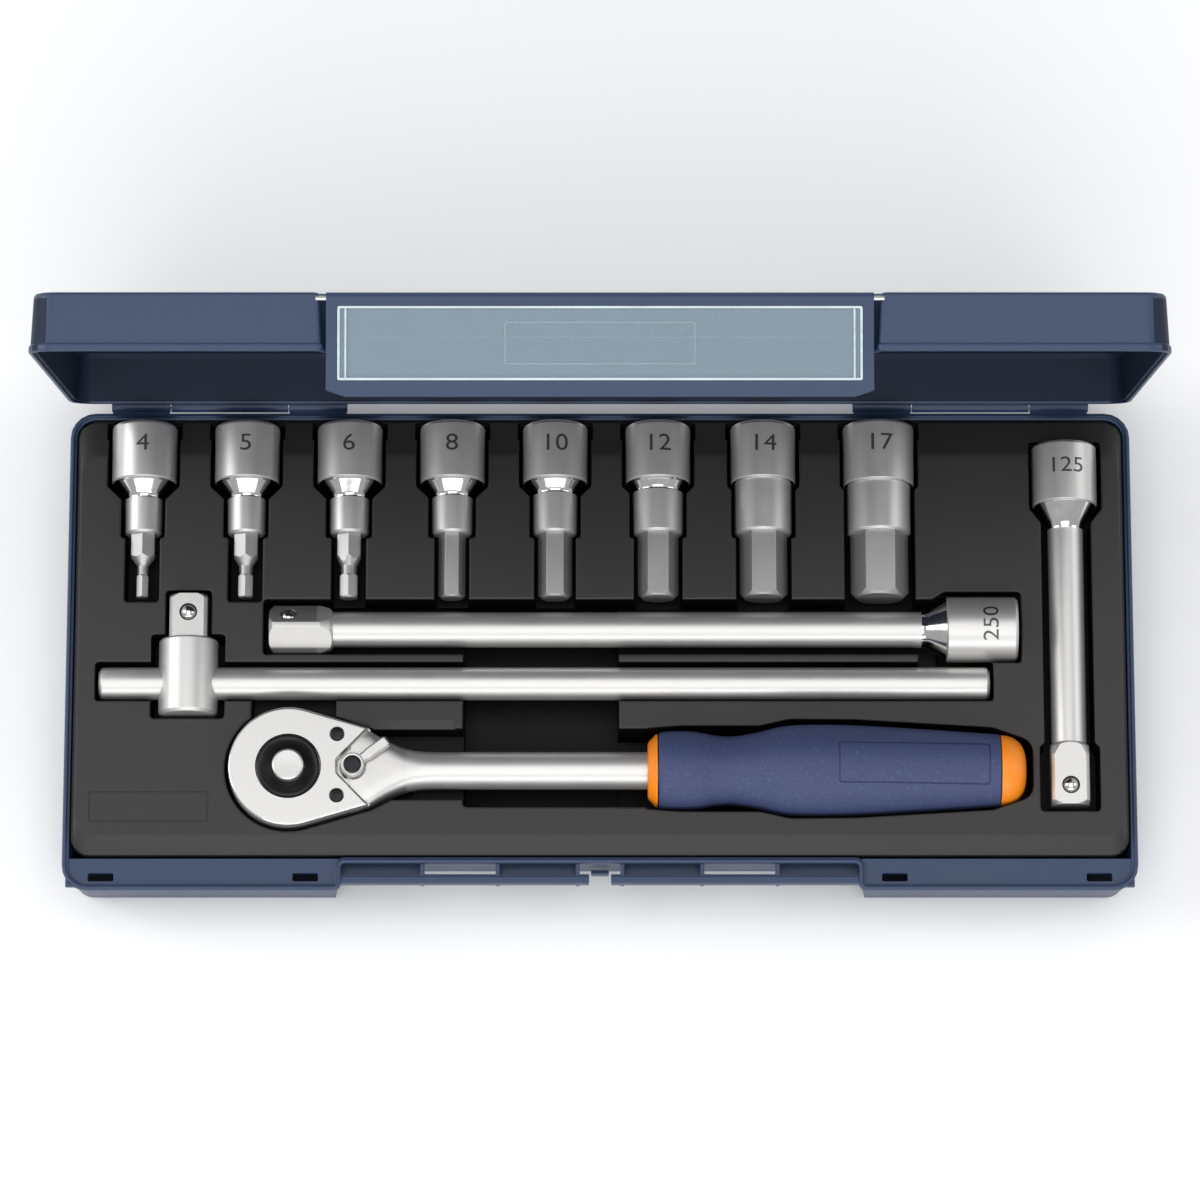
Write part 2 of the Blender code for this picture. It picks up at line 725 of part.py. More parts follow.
def latch_flap(empty, place):
    bottom = FLAP_TOP - FLAP_HEIGHT
    chamfer = FLAP_CHAMFER
    outline = [
        (-FLAP_HALF, FLAP_PIVOT),
        (-FLAP_HALF, bottom + chamfer / 3),
        (-FLAP_HALF + chamfer, bottom),
        (FLAP_HALF - chamfer, bottom),
        (FLAP_HALF, bottom + chamfer / 3),
        (FLAP_HALF, FLAP_PIVOT),
    ]
    flap = upright_plate("latch_flap", outline, FRONT, FRONT + FLAP_THICKNESS)
    barrel = cylinder(
        "flap_barrel", FLAP_BARREL_RADIUS, -FLAP_HALF, FLAP_HALF, "X", (FLAP_LINE, FLAP_PIVOT), 16
    )
    add(flap, barrel)
    (left, low), (right, high) = window_outline(0)
    rebate = WINDOW_THICKNESS + CARD_THICKNESS + PRESS_GAP
    cut(flap, box("flap_rebate", (left, FRONT - 1 * MM, low), (right, FRONT + rebate, high)))
    (left, low), (right, high) = window_outline(-WINDOW_LEDGE)
    cut(flap, box("flap_sight", (left, FRONT - 2 * MM, low), (right, FRONT + 9 * MM, high)))
    cut(flap, flap_pin_bore(-1, "flap"), flap_pin_bore(1, "flap"))
    finish(flap, case_plastic())
    hang(empty, place, flap)


def label_window(empty, place):
    (left, low), (right, high) = window_outline(-PRESS_GAP)
    pane = box("label_window", (left, FRONT, low), (right, FRONT + WINDOW_THICKNESS - PRESS_GAP, high))
    finish(pane, window_plastic())
    hang(empty, place, pane)


def label_card(empty, place):
    (left, low), (right, high) = window_outline(-3 * PRESS_GAP)
    front = FRONT + WINDOW_THICKNESS
    card = box("label_card", (left, front, low), (right, front + CARD_THICKNESS, high))
    finish(card, card_stock())
    hang(empty, place, card)


# ---------------------------------------------------------------- tool shapes shared with the tray


def socket_stations(socket):
    """(distance from the drive end, radius) of a socket."""
    edge = SOCKET_EDGE
    stations = [
        (0.0, socket.body_radius - edge),
        (edge, socket.body_radius),
        (socket.body_length - edge, socket.body_radius),
        (socket.body_length, socket.body_radius - edge),
    ]
    if socket.shoulder > edge:
        stations.append((socket.body_length + socket.shoulder, socket.neck_radius + edge / 2))
    else:
        stations.append((socket.body_length + edge / 4, socket.neck_radius))
    stations.append((SOCKET_LENGTH - edge, socket.neck_radius))
    stations.append((SOCKET_LENGTH, socket.neck_radius - edge))
    return stations


def bit_radius(socket):
    """The corner radius of a bit's thickest stretch."""
    return max(socket.size * MM, BIT_SHANK) / 2 / math.cos(math.radians(30))


def extension_stations(length, head):
    """(distance from the drive end, radius) of an extension bar."""
    edge = 0.8 * MM
    square = length - EXTENSION_SQUARE
    return [
        (0.0, EXTENSION_HEAD_RADIUS - edge),
        (edge, EXTENSION_HEAD_RADIUS),
        (head - edge, EXTENSION_HEAD_RADIUS),
        (head, EXTENSION_HEAD_RADIUS - edge),
        (head + EXTENSION_CONE, EXTENSION_SHANK_RADIUS + edge / 2),
        (head + 1.5 * EXTENSION_CONE, EXTENSION_SHANK_RADIUS),
        (square - EXTENSION_COLLAR, EXTENSION_SHANK_RADIUS),
        (square - EXTENSION_COLLAR / 2, EXTENSION_SHANK_RADIUS + 1.2 * MM),
        (square, DRIVE_TURNED_RADIUS),
        (length - 1.5 * edge, DRIVE_TURNED_RADIUS),
        (length, DRIVE_TURNED_RADIUS - 1.5 * edge),
    ]


def head_outline(grow):
    """The ratchet head seen from above, about its own centre, grown outwards."""
    radius = HEAD_RADIUS + grow
    corner = (HEAD_CORNER_REACH + grow / 2, HEAD_CORNER_HALF + grow)
    reach = math.hypot(*corner)
    tangent = math.degrees(math.atan2(corner[1], corner[0]) + math.acos(radius / reach))
    points = arc((0, 0), radius, tangent, 360 - tangent, 20)
    points.append((corner[0], -corner[1]))
    points.append((NECK_REACH, -SHAFT_RADIUS - grow))
    points.append((NECK_REACH, SHAFT_RADIUS + grow))
    points.append(corner)
    return points


# ---------------------------------------------------------------- tray


def pocket_outline(stations, tip_gap):
    """Both sides of a turned tool's outline, widened by the pocket's gap and run past its ends."""
    widths = [(along, radius + POCKET_GAP) for along, radius in stations]
    widths[0] = (widths[0][0] - POCKET_GAP, widths[1][1])
    widths[-1] = (widths[-1][0] + tip_gap, widths[-2][1])
    kept = [widths[0]]
    for along, width in widths[1:]:
        if along > kept[-1][0] + SHORTEST_STEP:
            kept.append((along, width))
    return kept + [(along, -width) for along, width in reversed(kept)]


def stepped_pocket(name, stations, wide, to_world, depths):
    """A shallow pocket of a whole tool, and a deeper one under its first, wide stations."""
    shapes = []
    for step, (kept, tip) in enumerate(((stations, TIP_GAP), (stations[:wide], SHORTEST_STEP))):
        points = [to_world(along, width) for along, width in pocket_outline(kept, tip)]
        bottom = AXIS_HEIGHT - depths[step] - SEAT_GAP
        shapes.append(prism(f"{name}_{step}", points, bottom, POCKET_TOP - step * MM))
    return shapes


def socket_pocket(socket):
    body_end = socket.body_length
    radius = bit_radius(socket)
    neck = socket.neck_radius + SOCKET_EDGE / 2
    stations = [
        (0.0, socket.body_radius),
        (body_end, socket.body_radius),
        (body_end + max(socket.shoulder, 1.5 * MM), neck),
        (SOCKET_LENGTH, neck),
        (SOCKET_LENGTH + POCKET_GAP, radius),
        (SOCKET_LENGTH + BIT_REACH, radius),
    ]
    return stepped_pocket(
        f"pocket_{socket.size}", stations, 3,
        lambda along, width: (socket.place + width, SOCKET_BACK - along),
        (neck, socket.body_radius),
    )


def bar_pocket(name, length, head, to_world):
    """An extension's pocket: its whole outline, and deeper under its head."""
    stations = [
        (0.0, EXTENSION_HEAD_RADIUS),
        (head, EXTENSION_HEAD_RADIUS),
        (head + EXTENSION_CONE, DRIVE_TURNED_RADIUS),
        (length, DRIVE_TURNED_RADIUS),
    ]
    return stepped_pocket(name, stations, 3, to_world, (DRIVE_TURNED_RADIUS, EXTENSION_HEAD_RADIUS))


def plain_pocket(name, left, right, front, back, bottom):
    return box(name, (left, front, bottom), (right, back, POCKET_TOP - 2 * MM))


def slider_pockets():
    rod_bottom = AXIS_HEIGHT - ROD_RADIUS - SEAT_GAP
    body_bottom = AXIS_HEIGHT - SLIDER_RADIUS - SEAT_GAP
    square_bottom = AXIS_HEIGHT - DRIVE_SQUARE / 2 - SEAT_GAP
    body_back = SLIDER_BACK - SLIDER_SQUARE
    half_rod = ROD_RADIUS + POCKET_GAP
    half_body = SLIDER_RADIUS + 2 * POCKET_GAP
    half_square = DRIVE_SQUARE / 2 + POCKET_GAP
    x = SLIDER_PLACE
    front = body_back - SLIDER_BODY - POCKET_GAP
    return [
        plain_pocket(
            "rod_pocket", ROD_LEFT - POCKET_GAP, ROD_LEFT + ROD_LENGTH + POCKET_GAP,
            ROD_LINE - half_rod, ROD_LINE + half_rod, rod_bottom,
        ),
        plain_pocket(
            "slider_pocket", x - half_body, x + half_body, front, body_back + POCKET_GAP, body_bottom
        ),
        plain_pocket(
            "slider_square_pocket", x - half_square, x + half_square,
            body_back, SLIDER_BACK + POCKET_GAP, square_bottom,
        ),
    ]


def ratchet_pockets():
    head = [(HEAD_PLACE + x, RATCHET_LINE + y) for x, y in head_outline(POCKET_GAP)]
    grip_radius = max(radius for _, radius in GRIP_STATIONS)
    stations = [(COLLAR_LEFT - GRIP_LEFT, COLLAR_RADIUS)] + list(GRIP_STATIONS[1::2])
    stations += [(GRIP_RIGHT - GRIP_LEFT, GRIP_STATIONS[-1][1])]
    stations += [(GRIP_RIGHT - GRIP_LEFT + CAP_LENGTH, 0.75 * GRIP_STATIONS[-1][1])]
    outline = pocket_outline(stations, POCKET_GAP)
    grip = [(GRIP_LEFT + along, RATCHET_LINE + width) for along, width in outline]
    return [
        prism("head_pocket", head, HEAD_BOTTOM - SEAT_GAP, POCKET_TOP - 3 * MM),
        prism("grip_pocket", grip, AXIS_HEIGHT - grip_radius - SEAT_GAP, POCKET_TOP - 3.5 * MM),
        cylinder(
            "drive_well", DRIVE_NECK_RADIUS, DRIVE_TIP - SEAT_GAP, HEAD_BOTTOM + 4 * MM,
            centre=(HEAD_PLACE, RATCHET_LINE),
        ),
        plain_pocket(
            "shaft_pocket", HEAD_PLACE + HEAD_CORNER_REACH, FINGER_LEFT + 1 * MM,
            RATCHET_LINE - SHAFT_POCKET_HALF, DIVIDER_BOTTOM, AXIS_HEIGHT - SHAFT_RADIUS - SEAT_GAP,
        ),
        plain_pocket(
            "collar_pocket", FINGER_RIGHT - 1 * MM, COLLAR_LEFT + COLLAR_POCKET_LENGTH,
            RATCHET_LINE - FINGER_HALF, DIVIDER_BOTTOM, FINGER_BOTTOM + 1 * MM,
        ),
    ]


def open_pockets():
    """The finger gap and the places where neighbouring pockets run together."""
    rod_bottom = AXIS_HEIGHT - ROD_RADIUS - SEAT_GAP
    channel_bottom = AXIS_HEIGHT - DRIVE_TURNED_RADIUS - SEAT_GAP
    long_left = LONG_RIGHT - LONG_LENGTH
    long_shoulder = LONG_RIGHT - LONG_HEAD
    rod_back = ROD_LINE + ROD_RADIUS
    return [
        plain_pocket(
            "finger_gap", FINGER_LEFT, FINGER_RIGHT,
            RATCHET_LINE - FINGER_HALF, CHANNEL_TOP - 1 * MM, FINGER_BOTTOM,
        ),
        plain_pocket(
            "channel", long_left - CHANNEL_END_GAP, long_shoulder,
            CHANNEL_BOTTOM, CHANNEL_TOP, channel_bottom,
        ),
        plain_pocket(
            "head_gap", HEAD_PLACE + HEAD_GAP_LEFT, HEAD_PLACE + HEAD_GAP_RIGHT,
            RATCHET_LINE + HEAD_GAP_FRONT, ROD_LINE, rod_bottom - 1 * MM,
        ),
        plain_pocket(
            "cone_gap", long_shoulder - CONE_GAP, long_shoulder + 1 * MM,
            rod_back - 4 * MM, CHANNEL_BOTTOM + 3 * MM, channel_bottom + 1 * MM,
        ),
    ]


def all_pockets():
    shapes = []
    for socket in SOCKETS:
        shapes += socket_pocket(socket)
    shapes += bar_pocket(
        "short_pocket", SHORT_LENGTH, SHORT_HEAD,
        lambda along, width: (SHORT_PLACE + width, SHORT_BACK - along),
    )
    shapes += bar_pocket(
        "long_pocket", LONG_LENGTH, LONG_HEAD,
        lambda along, width: (LONG_RIGHT - along, LONG_LINE + width),
    )
    return shapes + slider_pockets() + ratchet_pockets() + open_pockets()


def tray_block():
    """The tray's outside: an upright skirt, then bevels up to its flat top."""
    bm = bmesh.new()
    bmesh.ops.create_cube(bm, size=1.0)
    low = (-TRAY_HALF, TRAY_FRONT, CASE_FLOOR + SEAT_GAP)
    high = (TRAY_HALF, TRAY_BACK, TRAY_SHOULDER)
    size = [b - a for a, b in zip(low, high)]
    middle = [(a + b) / 2 for a, b in zip(low, high)]
    bmesh.ops.scale(bm, vec=size, verts=bm.verts)
    bmesh.ops.translate(bm, vec=middle, verts=bm.verts)
    upright = [e for e in bm.edges if abs(e.verts[0].co.z - e.verts[1].co.z) > size[2] / 2]
    bmesh.ops.bevel(
        bm, geom=upright, offset=TRAY_CORNER, affect="EDGES", segments=3, profile=0.5, material=-1
    )
    inset = BASE_DRAFT * (TRAY_SHOULDER - low[2]) / BASE_HEIGHT
    for vertex in bm.verts:
        if vertex.co.z < TRAY_SHOULDER - 1 * MM:
            vertex.co.x *= 1 - inset / high[0]
            vertex.co.y *= 1 - inset / high[1]
    cap = [face for face in bm.faces if face.normal.z > 0.9]
    raised = bmesh.ops.extrude_face_region(bm, geom=cap)
    lifted = [item for item in raised["geom"] if isinstance(item, bmesh.types.BMVert)]
    bmesh.ops.delete(bm, geom=cap, context="FACES_ONLY")
    front, back = low[1] + TRAY_FRONT_BEVEL, high[1] - TRAY_BACK_RAMP
    for vertex in lifted:
        vertex.co.z = TRAY_TOP
        vertex.co.x *= 1 - TRAY_SIDE_BEVEL / high[0]
        share = (vertex.co.y - low[1]) / (high[1] - low[1])
        vertex.co.y = front + share * (back - front)
    bmesh.ops.recalc_face_normals(bm, faces=bm.faces)
    return mesh_object("tool_tray", bm)


def tool_tray():
    tray = tray_block()
    cut(tray, *all_pockets(), solver="MANIFOLD")
    finish(tray, tray_plastic())


# ---------------------------------------------------------------- sockets and bits


def across(flats):
    """The corner radius of a hexagon of this width across flats."""
    return flats / 2 / math.cos(math.radians(30))


def square_hole(name, size, depth):
    half = size / 2
    return box(name, (-half, -half, -1 * MM), (half, half, depth))


def square_frame(name, start, end):
    """Mills a round end to the drive square: a block with the square left out of it."""
    reach = 2 * DRIVE_TURNED_RADIUS
    half = DRIVE_SQUARE / 2
    frame = box(name, (-reach, -reach, start), (reach, reach, end))
    cut(frame, box(f"{name}_inside", (-half, -half, start - 1 * MM), (half, half, end + 1 * MM)))
    return settle(frame)


def socket_pair(socket):
    tag = f"{socket.size:02d}"
    body = turned(f"socket_{tag}", socket_stations(socket))
    cut(body, square_hole(f"socket_{tag}_square", DRIVE_HOLE, DRIVE_HOLE_DEPTH))
    held = max(socket.size * MM, BIT_SHANK)
    turn = math.radians(30) if socket.size * MM < BIT_SHANK else 0.0
    seat = SOCKET_LENGTH - BIT_INSIDE
    hole_radius = across(held + 2 * PRESS_GAP)
    hole = turned(
        f"socket_{tag}_hexagon",
        [(seat - PRESS_GAP, hole_radius), (SOCKET_LENGTH + 1 * MM, hole_radius)],
        6,
    )
    hole.rotation_euler.z = turn
    cut(body, hole)
    place = (socket.place, SOCKET_BACK, AXIS_HEIGHT)
    finish(body, chrome(), place, (math.pi / 2, 0, 0))
    bit = turned(f"bit_{tag}", bit_stations(socket), 6)
    bit.data.transform(Matrix.Rotation(turn, 4, "Z"))
    finish(bit, bit_steel(), place, (math.pi / 2, 0, 0))


def bit_stations(socket):
    flats = socket.size * MM
    start = SOCKET_LENGTH - BIT_INSIDE
    tip = SOCKET_LENGTH + BIT_REACH
    chamfer = 0.12 * flats + 0.3 * MM
    stations = [(start, across(max(flats, BIT_SHANK)))]
    if flats < BIT_SHANK:
        stations.append((SOCKET_LENGTH + 8 * MM, across(BIT_SHANK)))
        stations.append((SOCKET_LENGTH + 12 * MM, across(flats)))
    stations.append((tip - chamfer, across(flats)))
    stations.append((tip, across(flats) - chamfer))
    return stations


# ---------------------------------------------------------------- extension bars


def drive_ball_parts(prefix, tip, up, frame, parent=None):
    """The detent ball near a drive square's tip and its spring, on the tool's local axes.

    up is the local direction that the ball faces, and frame the tool's place and rotation.
    """
    along = tip - BALL_FROM_TIP
    height = DRIVE_SQUARE / 2 - BALL_RADIUS + BALL_PROUD
    place, rotation = frame
    detent = ball(f"{prefix}_ball", BALL_RADIUS)
    detent.data.transform(Matrix.Translation((height * up[0], height * up[1], along)))
    finish(detent, spring_steel(), place, rotation, parent)
    spring = coil(f"{prefix}_spring", SPRING_RADIUS, SPRING_LENGTH, SPRING_TURNS, SPRING_WIRE)
    floor = DRIVE_SQUARE / 2 - BALL_HOLE_DEPTH + SEAT_GAP + SPRING_WIRE
    spring.data.transform(Matrix.Translation((0, 0, floor)))
    axis = Matrix.Rotation(-math.pi / 2, 4, "X") if up[1] else Matrix.Rotation(math.pi / 2, 4, "Y")
    spring.data.transform(axis)
    spring.data.transform(Matrix.Translation((0, 0, along)))
    finish(spring, spring_steel(), place, rotation, parent)


def ball_hole(prefix, tip, up):
    """The blind hole of a detent ball, in a drive square."""
    along = tip - BALL_FROM_TIP
    top = DRIVE_SQUARE / 2
    radius = BALL_RADIUS + PRESS_GAP
    ends = (top - BALL_HOLE_DEPTH, top + 5 * MM)
    if up[1]:
        return cylinder(f"{prefix}_ball_hole", radius, *ends, "Y", (0, along), 12)
    return cylinder(f"{prefix}_ball_hole", radius, *ends, "X", (0, along), 12)


def coil(name, radius, length, turns, wire):
    """A helical spring along Z, from a wire of a few sides."""
    steps = 6
    count = turns * steps
    curve = bpy.data.curves.new(name, "CURVE")
    curve.dimensions = "3D"
    curve.bevel_depth = wire
    curve.bevel_resolution = 0
    curve.use_fill_caps = True
    spline = curve.splines.new("POLY")
    spline.points.add(count)
    for index, point in enumerate(spline.points):
        angle = math.tau * index / steps
        rise = length * index / count
        point.co = (radius * math.cos(angle), radius * math.sin(angle), rise, 1.0)
    obj = bpy.data.objects.new(name, curve)
    CUTTERS.objects.link(obj)
    return settle(obj)


def extension(name, length, head, up, frame):
    bar = turned(f"{name}_bar", extension_stations(length, head))
    place, rotation = frame
    cut(
        bar,
        square_hole(f"{name}_hole", DRIVE_HOLE, DRIVE_HOLE_DEPTH),
        square_frame(f"{name}_mill", length - EXTENSION_SQUARE, length + 2 * MM),
        ball_hole(name, length, up),
    )
    finish(bar, chrome(), place, rotation)
    drive_ball_parts(name, length, up, frame)


def extensions():
    along_y = ((SHORT_PLACE, SHORT_BACK, AXIS_HEIGHT), (math.pi / 2, 0, 0))
    extension("extension_125", SHORT_LENGTH, SHORT_HEAD, (0, 1, 0), along_y)
    turn = -math.pi / 2 - LONG_TURN
    along_x = ((LONG_RIGHT, LONG_LINE, AXIS_HEIGHT), (math.pi / 2, turn, -math.pi / 2))
    extension("extension_250", LONG_LENGTH, LONG_HEAD, (1, 0, 0), along_x)


# ---------------------------------------------------------------- sliding T-handle


def slide_rod():
    edge = 1.2 * MM
    stations = [
        (0.0, ROD_RADIUS - edge),
        (edge, ROD_RADIUS),
        (ROD_LENGTH - edge, ROD_RADIUS),
        (ROD_LENGTH, ROD_RADIUS - edge),
    ]
    rod = turned("t_handle_rod", stations)
    finish(rod, chrome(), (ROD_LEFT, ROD_LINE, AXIS_HEIGHT), (0, math.pi / 2, 0))


def slide_head():
    """The sliding head: its drive square points back, and the rod passes through it."""
    edge = 1.2 * MM
    length = SLIDER_SQUARE + SLIDER_BODY
    stations = [
        (0.0, DRIVE_TURNED_RADIUS - edge),
        (edge, DRIVE_TURNED_RADIUS),
        (SLIDER_SQUARE, DRIVE_TURNED_RADIUS),
        (SLIDER_SQUARE + edge / 4, SLIDER_RADIUS),
        (length - edge, SLIDER_RADIUS),
        (length, SLIDER_RADIUS - edge),
    ]
    head = turned("t_handle_head", stations)
    rod_along = SLIDER_BACK - ROD_LINE
    reach = SLIDER_RADIUS + 2 * MM
    rod_hole = cylinder(
        "head_rod_hole", ROD_RADIUS + SLIDER_BORE_GAP, -reach, reach, "X", (0, rod_along)
    )
    ball_bore = cylinder(
        "head_rod_ball_hole", ROD_BALL_RADIUS + PRESS_GAP, rod_along - ROD_BALL_DEPTH, rod_along,
        sides=12,
    )
    cut(
        head,
        square_frame("head_mill", -1 * MM, SLIDER_SQUARE),
        rod_hole,
        ball_bore,
        ball_hole("t_handle", BALL_FROM_TIP * 2, (0, 1, 0)),
    )
    frame = ((SLIDER_PLACE, SLIDER_BACK, AXIS_HEIGHT), (math.pi / 2, 0, 0))
    finish(head, chrome(), *frame)
    drive_ball_parts("t_handle", BALL_FROM_TIP * 2, (0, 1, 0), frame)
    ball_along = rod_along - ROD_RADIUS - SEAT_GAP - ROD_BALL_RADIUS
    detent = ball("rod_detent_ball", ROD_BALL_RADIUS)
    detent.data.transform(Matrix.Translation((0, 0, ball_along)))
    finish(detent, spring_steel(), *frame)
    start = rod_along - ROD_BALL_DEPTH + SEAT_GAP + SPRING_WIRE
    length = ball_along - ROD_BALL_RADIUS - SEAT_GAP - SPRING_WIRE - start
    spring = coil("rod_detent_spring", ROD_SPRING_RADIUS, length, 4, SPRING_WIRE)
    spring.data.transform(Matrix.Translation((0, 0, start)))
    finish(spring, spring_steel(), *frame)


# ---------------------------------------------------------------- ratchet


def notch_outline(grow):
    """The V in the cover around the lever, opening towards the shaft."""
    apex = LEVER_REACH - LEVER_HUB_RADIUS - NOTCH_GAP - grow
    narrow = NOTCH_HALF + grow
    wide = HEAD_CORNER_HALF + 1.5 * MM + grow
    far = HEAD_CORNER_REACH + 1 * MM
    end = NECK_REACH + 5 * MM
    return [(apex, -narrow), (far, -wide), (end, -wide), (end, wide), (far, wide), (apex, narrow)]


def ratchet_body():
    """Head housing with its cavities, neck and steel shaft, about the head's centre."""
    wedge = prism("neck_wedge", head_outline(0), HEAD_BOTTOM + 1 * MM, HEAD_TOP)
    keep = prism("neck_wedge_keep", notch_outline(-SEAT_GAP), 0, 2 * HEAD_TOP)
    combine(wedge, keep, "INTERSECT")
    body = prism("ratchet_body", head_outline(0), HEAD_BOTTOM, COVER_BOTTOM - SEAT_GAP)
    shaft = cylinder(
        "shaft", SHAFT_RADIUS, HEAD_CORNER_REACH, SHAFT_END - HEAD_PLACE, "X", (0, AXIS_HEIGHT)
    )
    add(body, settle(wedge), shaft)
    low = GEAR_BOTTOM - GEAR_GAP
    gear_room = cylinder("gear_room", GEAR_RADIUS + 0.6 * MM, low, HEAD_TOP + 1 * MM)
    neck_hole = cylinder("drive_neck_hole", DRIVE_NECK_RADIUS + SEAT_GAP, 0, HEAD_TOP)
    pawl_room = box(
        "pawl_room",
        (PAWL_REACH - 4 * MM, -PAWL_ROOM_HALF, low + 1 * MM),
        (LEVER_REACH - 2 * MM, PAWL_ROOM_HALF, COVER_BOTTOM + 0.5 * MM),
    )
    lever_room = cylinder(
        "lever_room", LEVER_STEM_RADIUS + 0.3 * MM, low + 1 * MM, 2 * HEAD_TOP,
        centre=(LEVER_REACH, 0), sides=16,
    )
    hub_room = cylinder(
        "hub_room", LEVER_HUB_RADIUS + 0.4 * MM, COVER_BOTTOM - 0.6 * MM, 2 * HEAD_TOP,
        centre=(LEVER_REACH, 0), sides=20,
    )
    cut(body, gear_room, neck_hole, pawl_room, lever_room, hub_room)
    for index, (x, y) in enumerate(SCREW_PLACES):
        name = f"screw_thread_hole_{index}"
        radius = SCREW_SHANK + PRESS_GAP
        bottom = HEAD_TOP - SCREW_LENGTH - 1 * MM
        cut(body, cylinder(name, radius, bottom, HEAD_TOP, centre=(x, y), sides=12))
    finish(body, chrome(), (HEAD_PLACE, RATCHET_LINE, 0))


def cover_plate():
    cover = prism("cover_plate", head_outline(0), COVER_BOTTOM, HEAD_TOP)
    cut(
        cover,
        prism("cover_notch", notch_outline(0), COVER_BOTTOM - 1 * MM, HEAD_TOP + 1 * MM),
        cylinder("cover_opening", RING_RADIUS + SEAT_GAP, 0, 2 * HEAD_TOP),
        cylinder(
            "cover_hub_opening", LEVER_HUB_RADIUS + 0.4 * MM, 0, 2 * HEAD_TOP,
            centre=(LEVER_REACH, 0), sides=20,
        ),
    )
    for index, (x, y) in enumerate(SCREW_PLACES):
        hole = f"cover_screw_hole_{index}"
        sink = f"cover_screw_sink_{index}"
        cut(
            cover,
            cylinder(hole, SCREW_SHANK + PRESS_GAP, 0, 2 * HEAD_TOP, centre=(x, y), sides=12),
            cylinder(
                sink, SCREW_RADIUS + PRESS_GAP, HEAD_TOP - SCREW_SINK, HEAD_TOP + 1 * MM,
                centre=(x, y), sides=16,
            ),
        )
    finish(cover, chrome(), (HEAD_PLACE, RATCHET_LINE, 0))


def cover_screw(index):
    x, y = SCREW_PLACES[index]
    stations = [
        (-SCREW_LENGTH, SCREW_SHANK),
        (-SCREW_HEAD, SCREW_SHANK),
        (-SCREW_HEAD + 0.01 * MM, SCREW_RADIUS),
        (0.0, SCREW_RADIUS),
    ]
    screw = turned(f"cover_screw_{index + 1}", stations, 12)
    drive = cylinder(f"screw_{index}_recess", SCREW_RECESS_RADIUS, -SCREW_RECESS_DEPTH, 1 * MM, sides=6)
    cut(screw, drive)
    finish(screw, dark_steel(), (HEAD_PLACE + x, RATCHET_LINE + y, HEAD_TOP))


def gear_outline():
    points = []
    for tooth in range(GEAR_TEETH):
        for share, radius in ((0.0, GEAR_ROOT), (0.5, GEAR_RADIUS)):
            angle = math.tau * (tooth + share) / GEAR_TEETH
            points.append((radius * math.cos(angle), radius * math.sin(angle)))
    return points


def drive_gear():
    """Toothed ring, neck and downward drive square in one piece, about the head's centre."""
    gear = prism("drive_gear", gear_outline(), GEAR_BOTTOM, GEAR_TOP)
    neck = cylinder("gear_neck", DRIVE_NECK_RADIUS, HEAD_BOTTOM + 0.5 * MM, GEAR_BOTTOM + 1 * MM)
    half = DRIVE_SQUARE / 2
    square = rounded_block(
        "gear_square", (-half, -half, DRIVE_TIP), (half, half, HEAD_BOTTOM + 2 * MM), 1.2 * MM, 0.6 * MM,
        segments=2,
    )
    add(gear, neck, square)
    ball_height = DRIVE_TIP + BALL_FROM_TIP
    hole_end = -half - 5 * MM
    cut(
        gear,
        cylinder("button_room", BUTTON_RADIUS + 0.5 * MM, GEAR_TOP - BUTTON_ROOM, 2 * HEAD_TOP),
        cylinder("stem_bore", BUTTON_STEM + 0.2 * MM, ball_height - 4 * MM, 2 * HEAD_TOP, sides=16),
        cylinder("gear_ball_hole", BALL_RADIUS + PRESS_GAP, hole_end, 0, "Y", (0, ball_height), 12),
    )
    finish(gear, chrome(), (HEAD_PLACE, RATCHET_LINE, 0))
    detent = ball("drive_ball", BALL_RADIUS)
    reach = half - BALL_RADIUS + BALL_PROUD
    finish(detent, spring_steel(), (HEAD_PLACE, RATCHET_LINE - reach, ball_height))


def button_ring():
    """Conical collar between the cover and the release button."""
    inner = BUTTON_RADIUS + SEAT_GAP
    bottom = GEAR_TOP + SEAT_GAP
    stations = [
        (bottom, RING_RADIUS),
        (HEAD_TOP + RING_PROUD / 2, RING_RADIUS),
        (HEAD_TOP + RING_PROUD, RING_RADIUS - 0.8 * MM),
        (HEAD_TOP - 0.6 * MM, inner + 0.6 * MM),
        (HEAD_TOP - 0.6 * MM, inner),
        (bottom, inner),
    ]
    ring = turned("button_ring", stations, hollow=True)
    finish(ring, dark_steel(), (HEAD_PLACE, RATCHET_LINE, 0))


def release_button():
    """Push button whose stem reaches down to the ball when it is pressed."""
    head_bottom = GEAR_TOP - BUTTON_HEAD
    top = HEAD_TOP + BUTTON_PROUD
    stations = [
        (DRIVE_TIP + BALL_FROM_TIP + BALL_RADIUS + BUTTON_TRAVEL + 1.0 * MM, BUTTON_STEM - 0.4 * MM),
        (head_bottom - 0.01 * MM, BUTTON_STEM - 0.4 * MM),
        (head_bottom, BUTTON_RADIUS),
        (top - 0.6 * MM, BUTTON_RADIUS),
        (top, BUTTON_RADIUS - 0.6 * MM),
    ]
    button = turned("release_button", stations)
    finish(button, chrome(), (HEAD_PLACE, RATCHET_LINE, 0))
    floor = GEAR_TOP - BUTTON_ROOM
    start = floor + SEAT_GAP + SPRING_WIRE
    length = head_bottom - BUTTON_TRAVEL - SEAT_GAP - SPRING_WIRE - start
    spring = coil("button_spring", BUTTON_SPRING_RADIUS, length, 3, SPRING_WIRE)
    finish(spring, spring_steel(), (HEAD_PLACE, RATCHET_LINE, start))


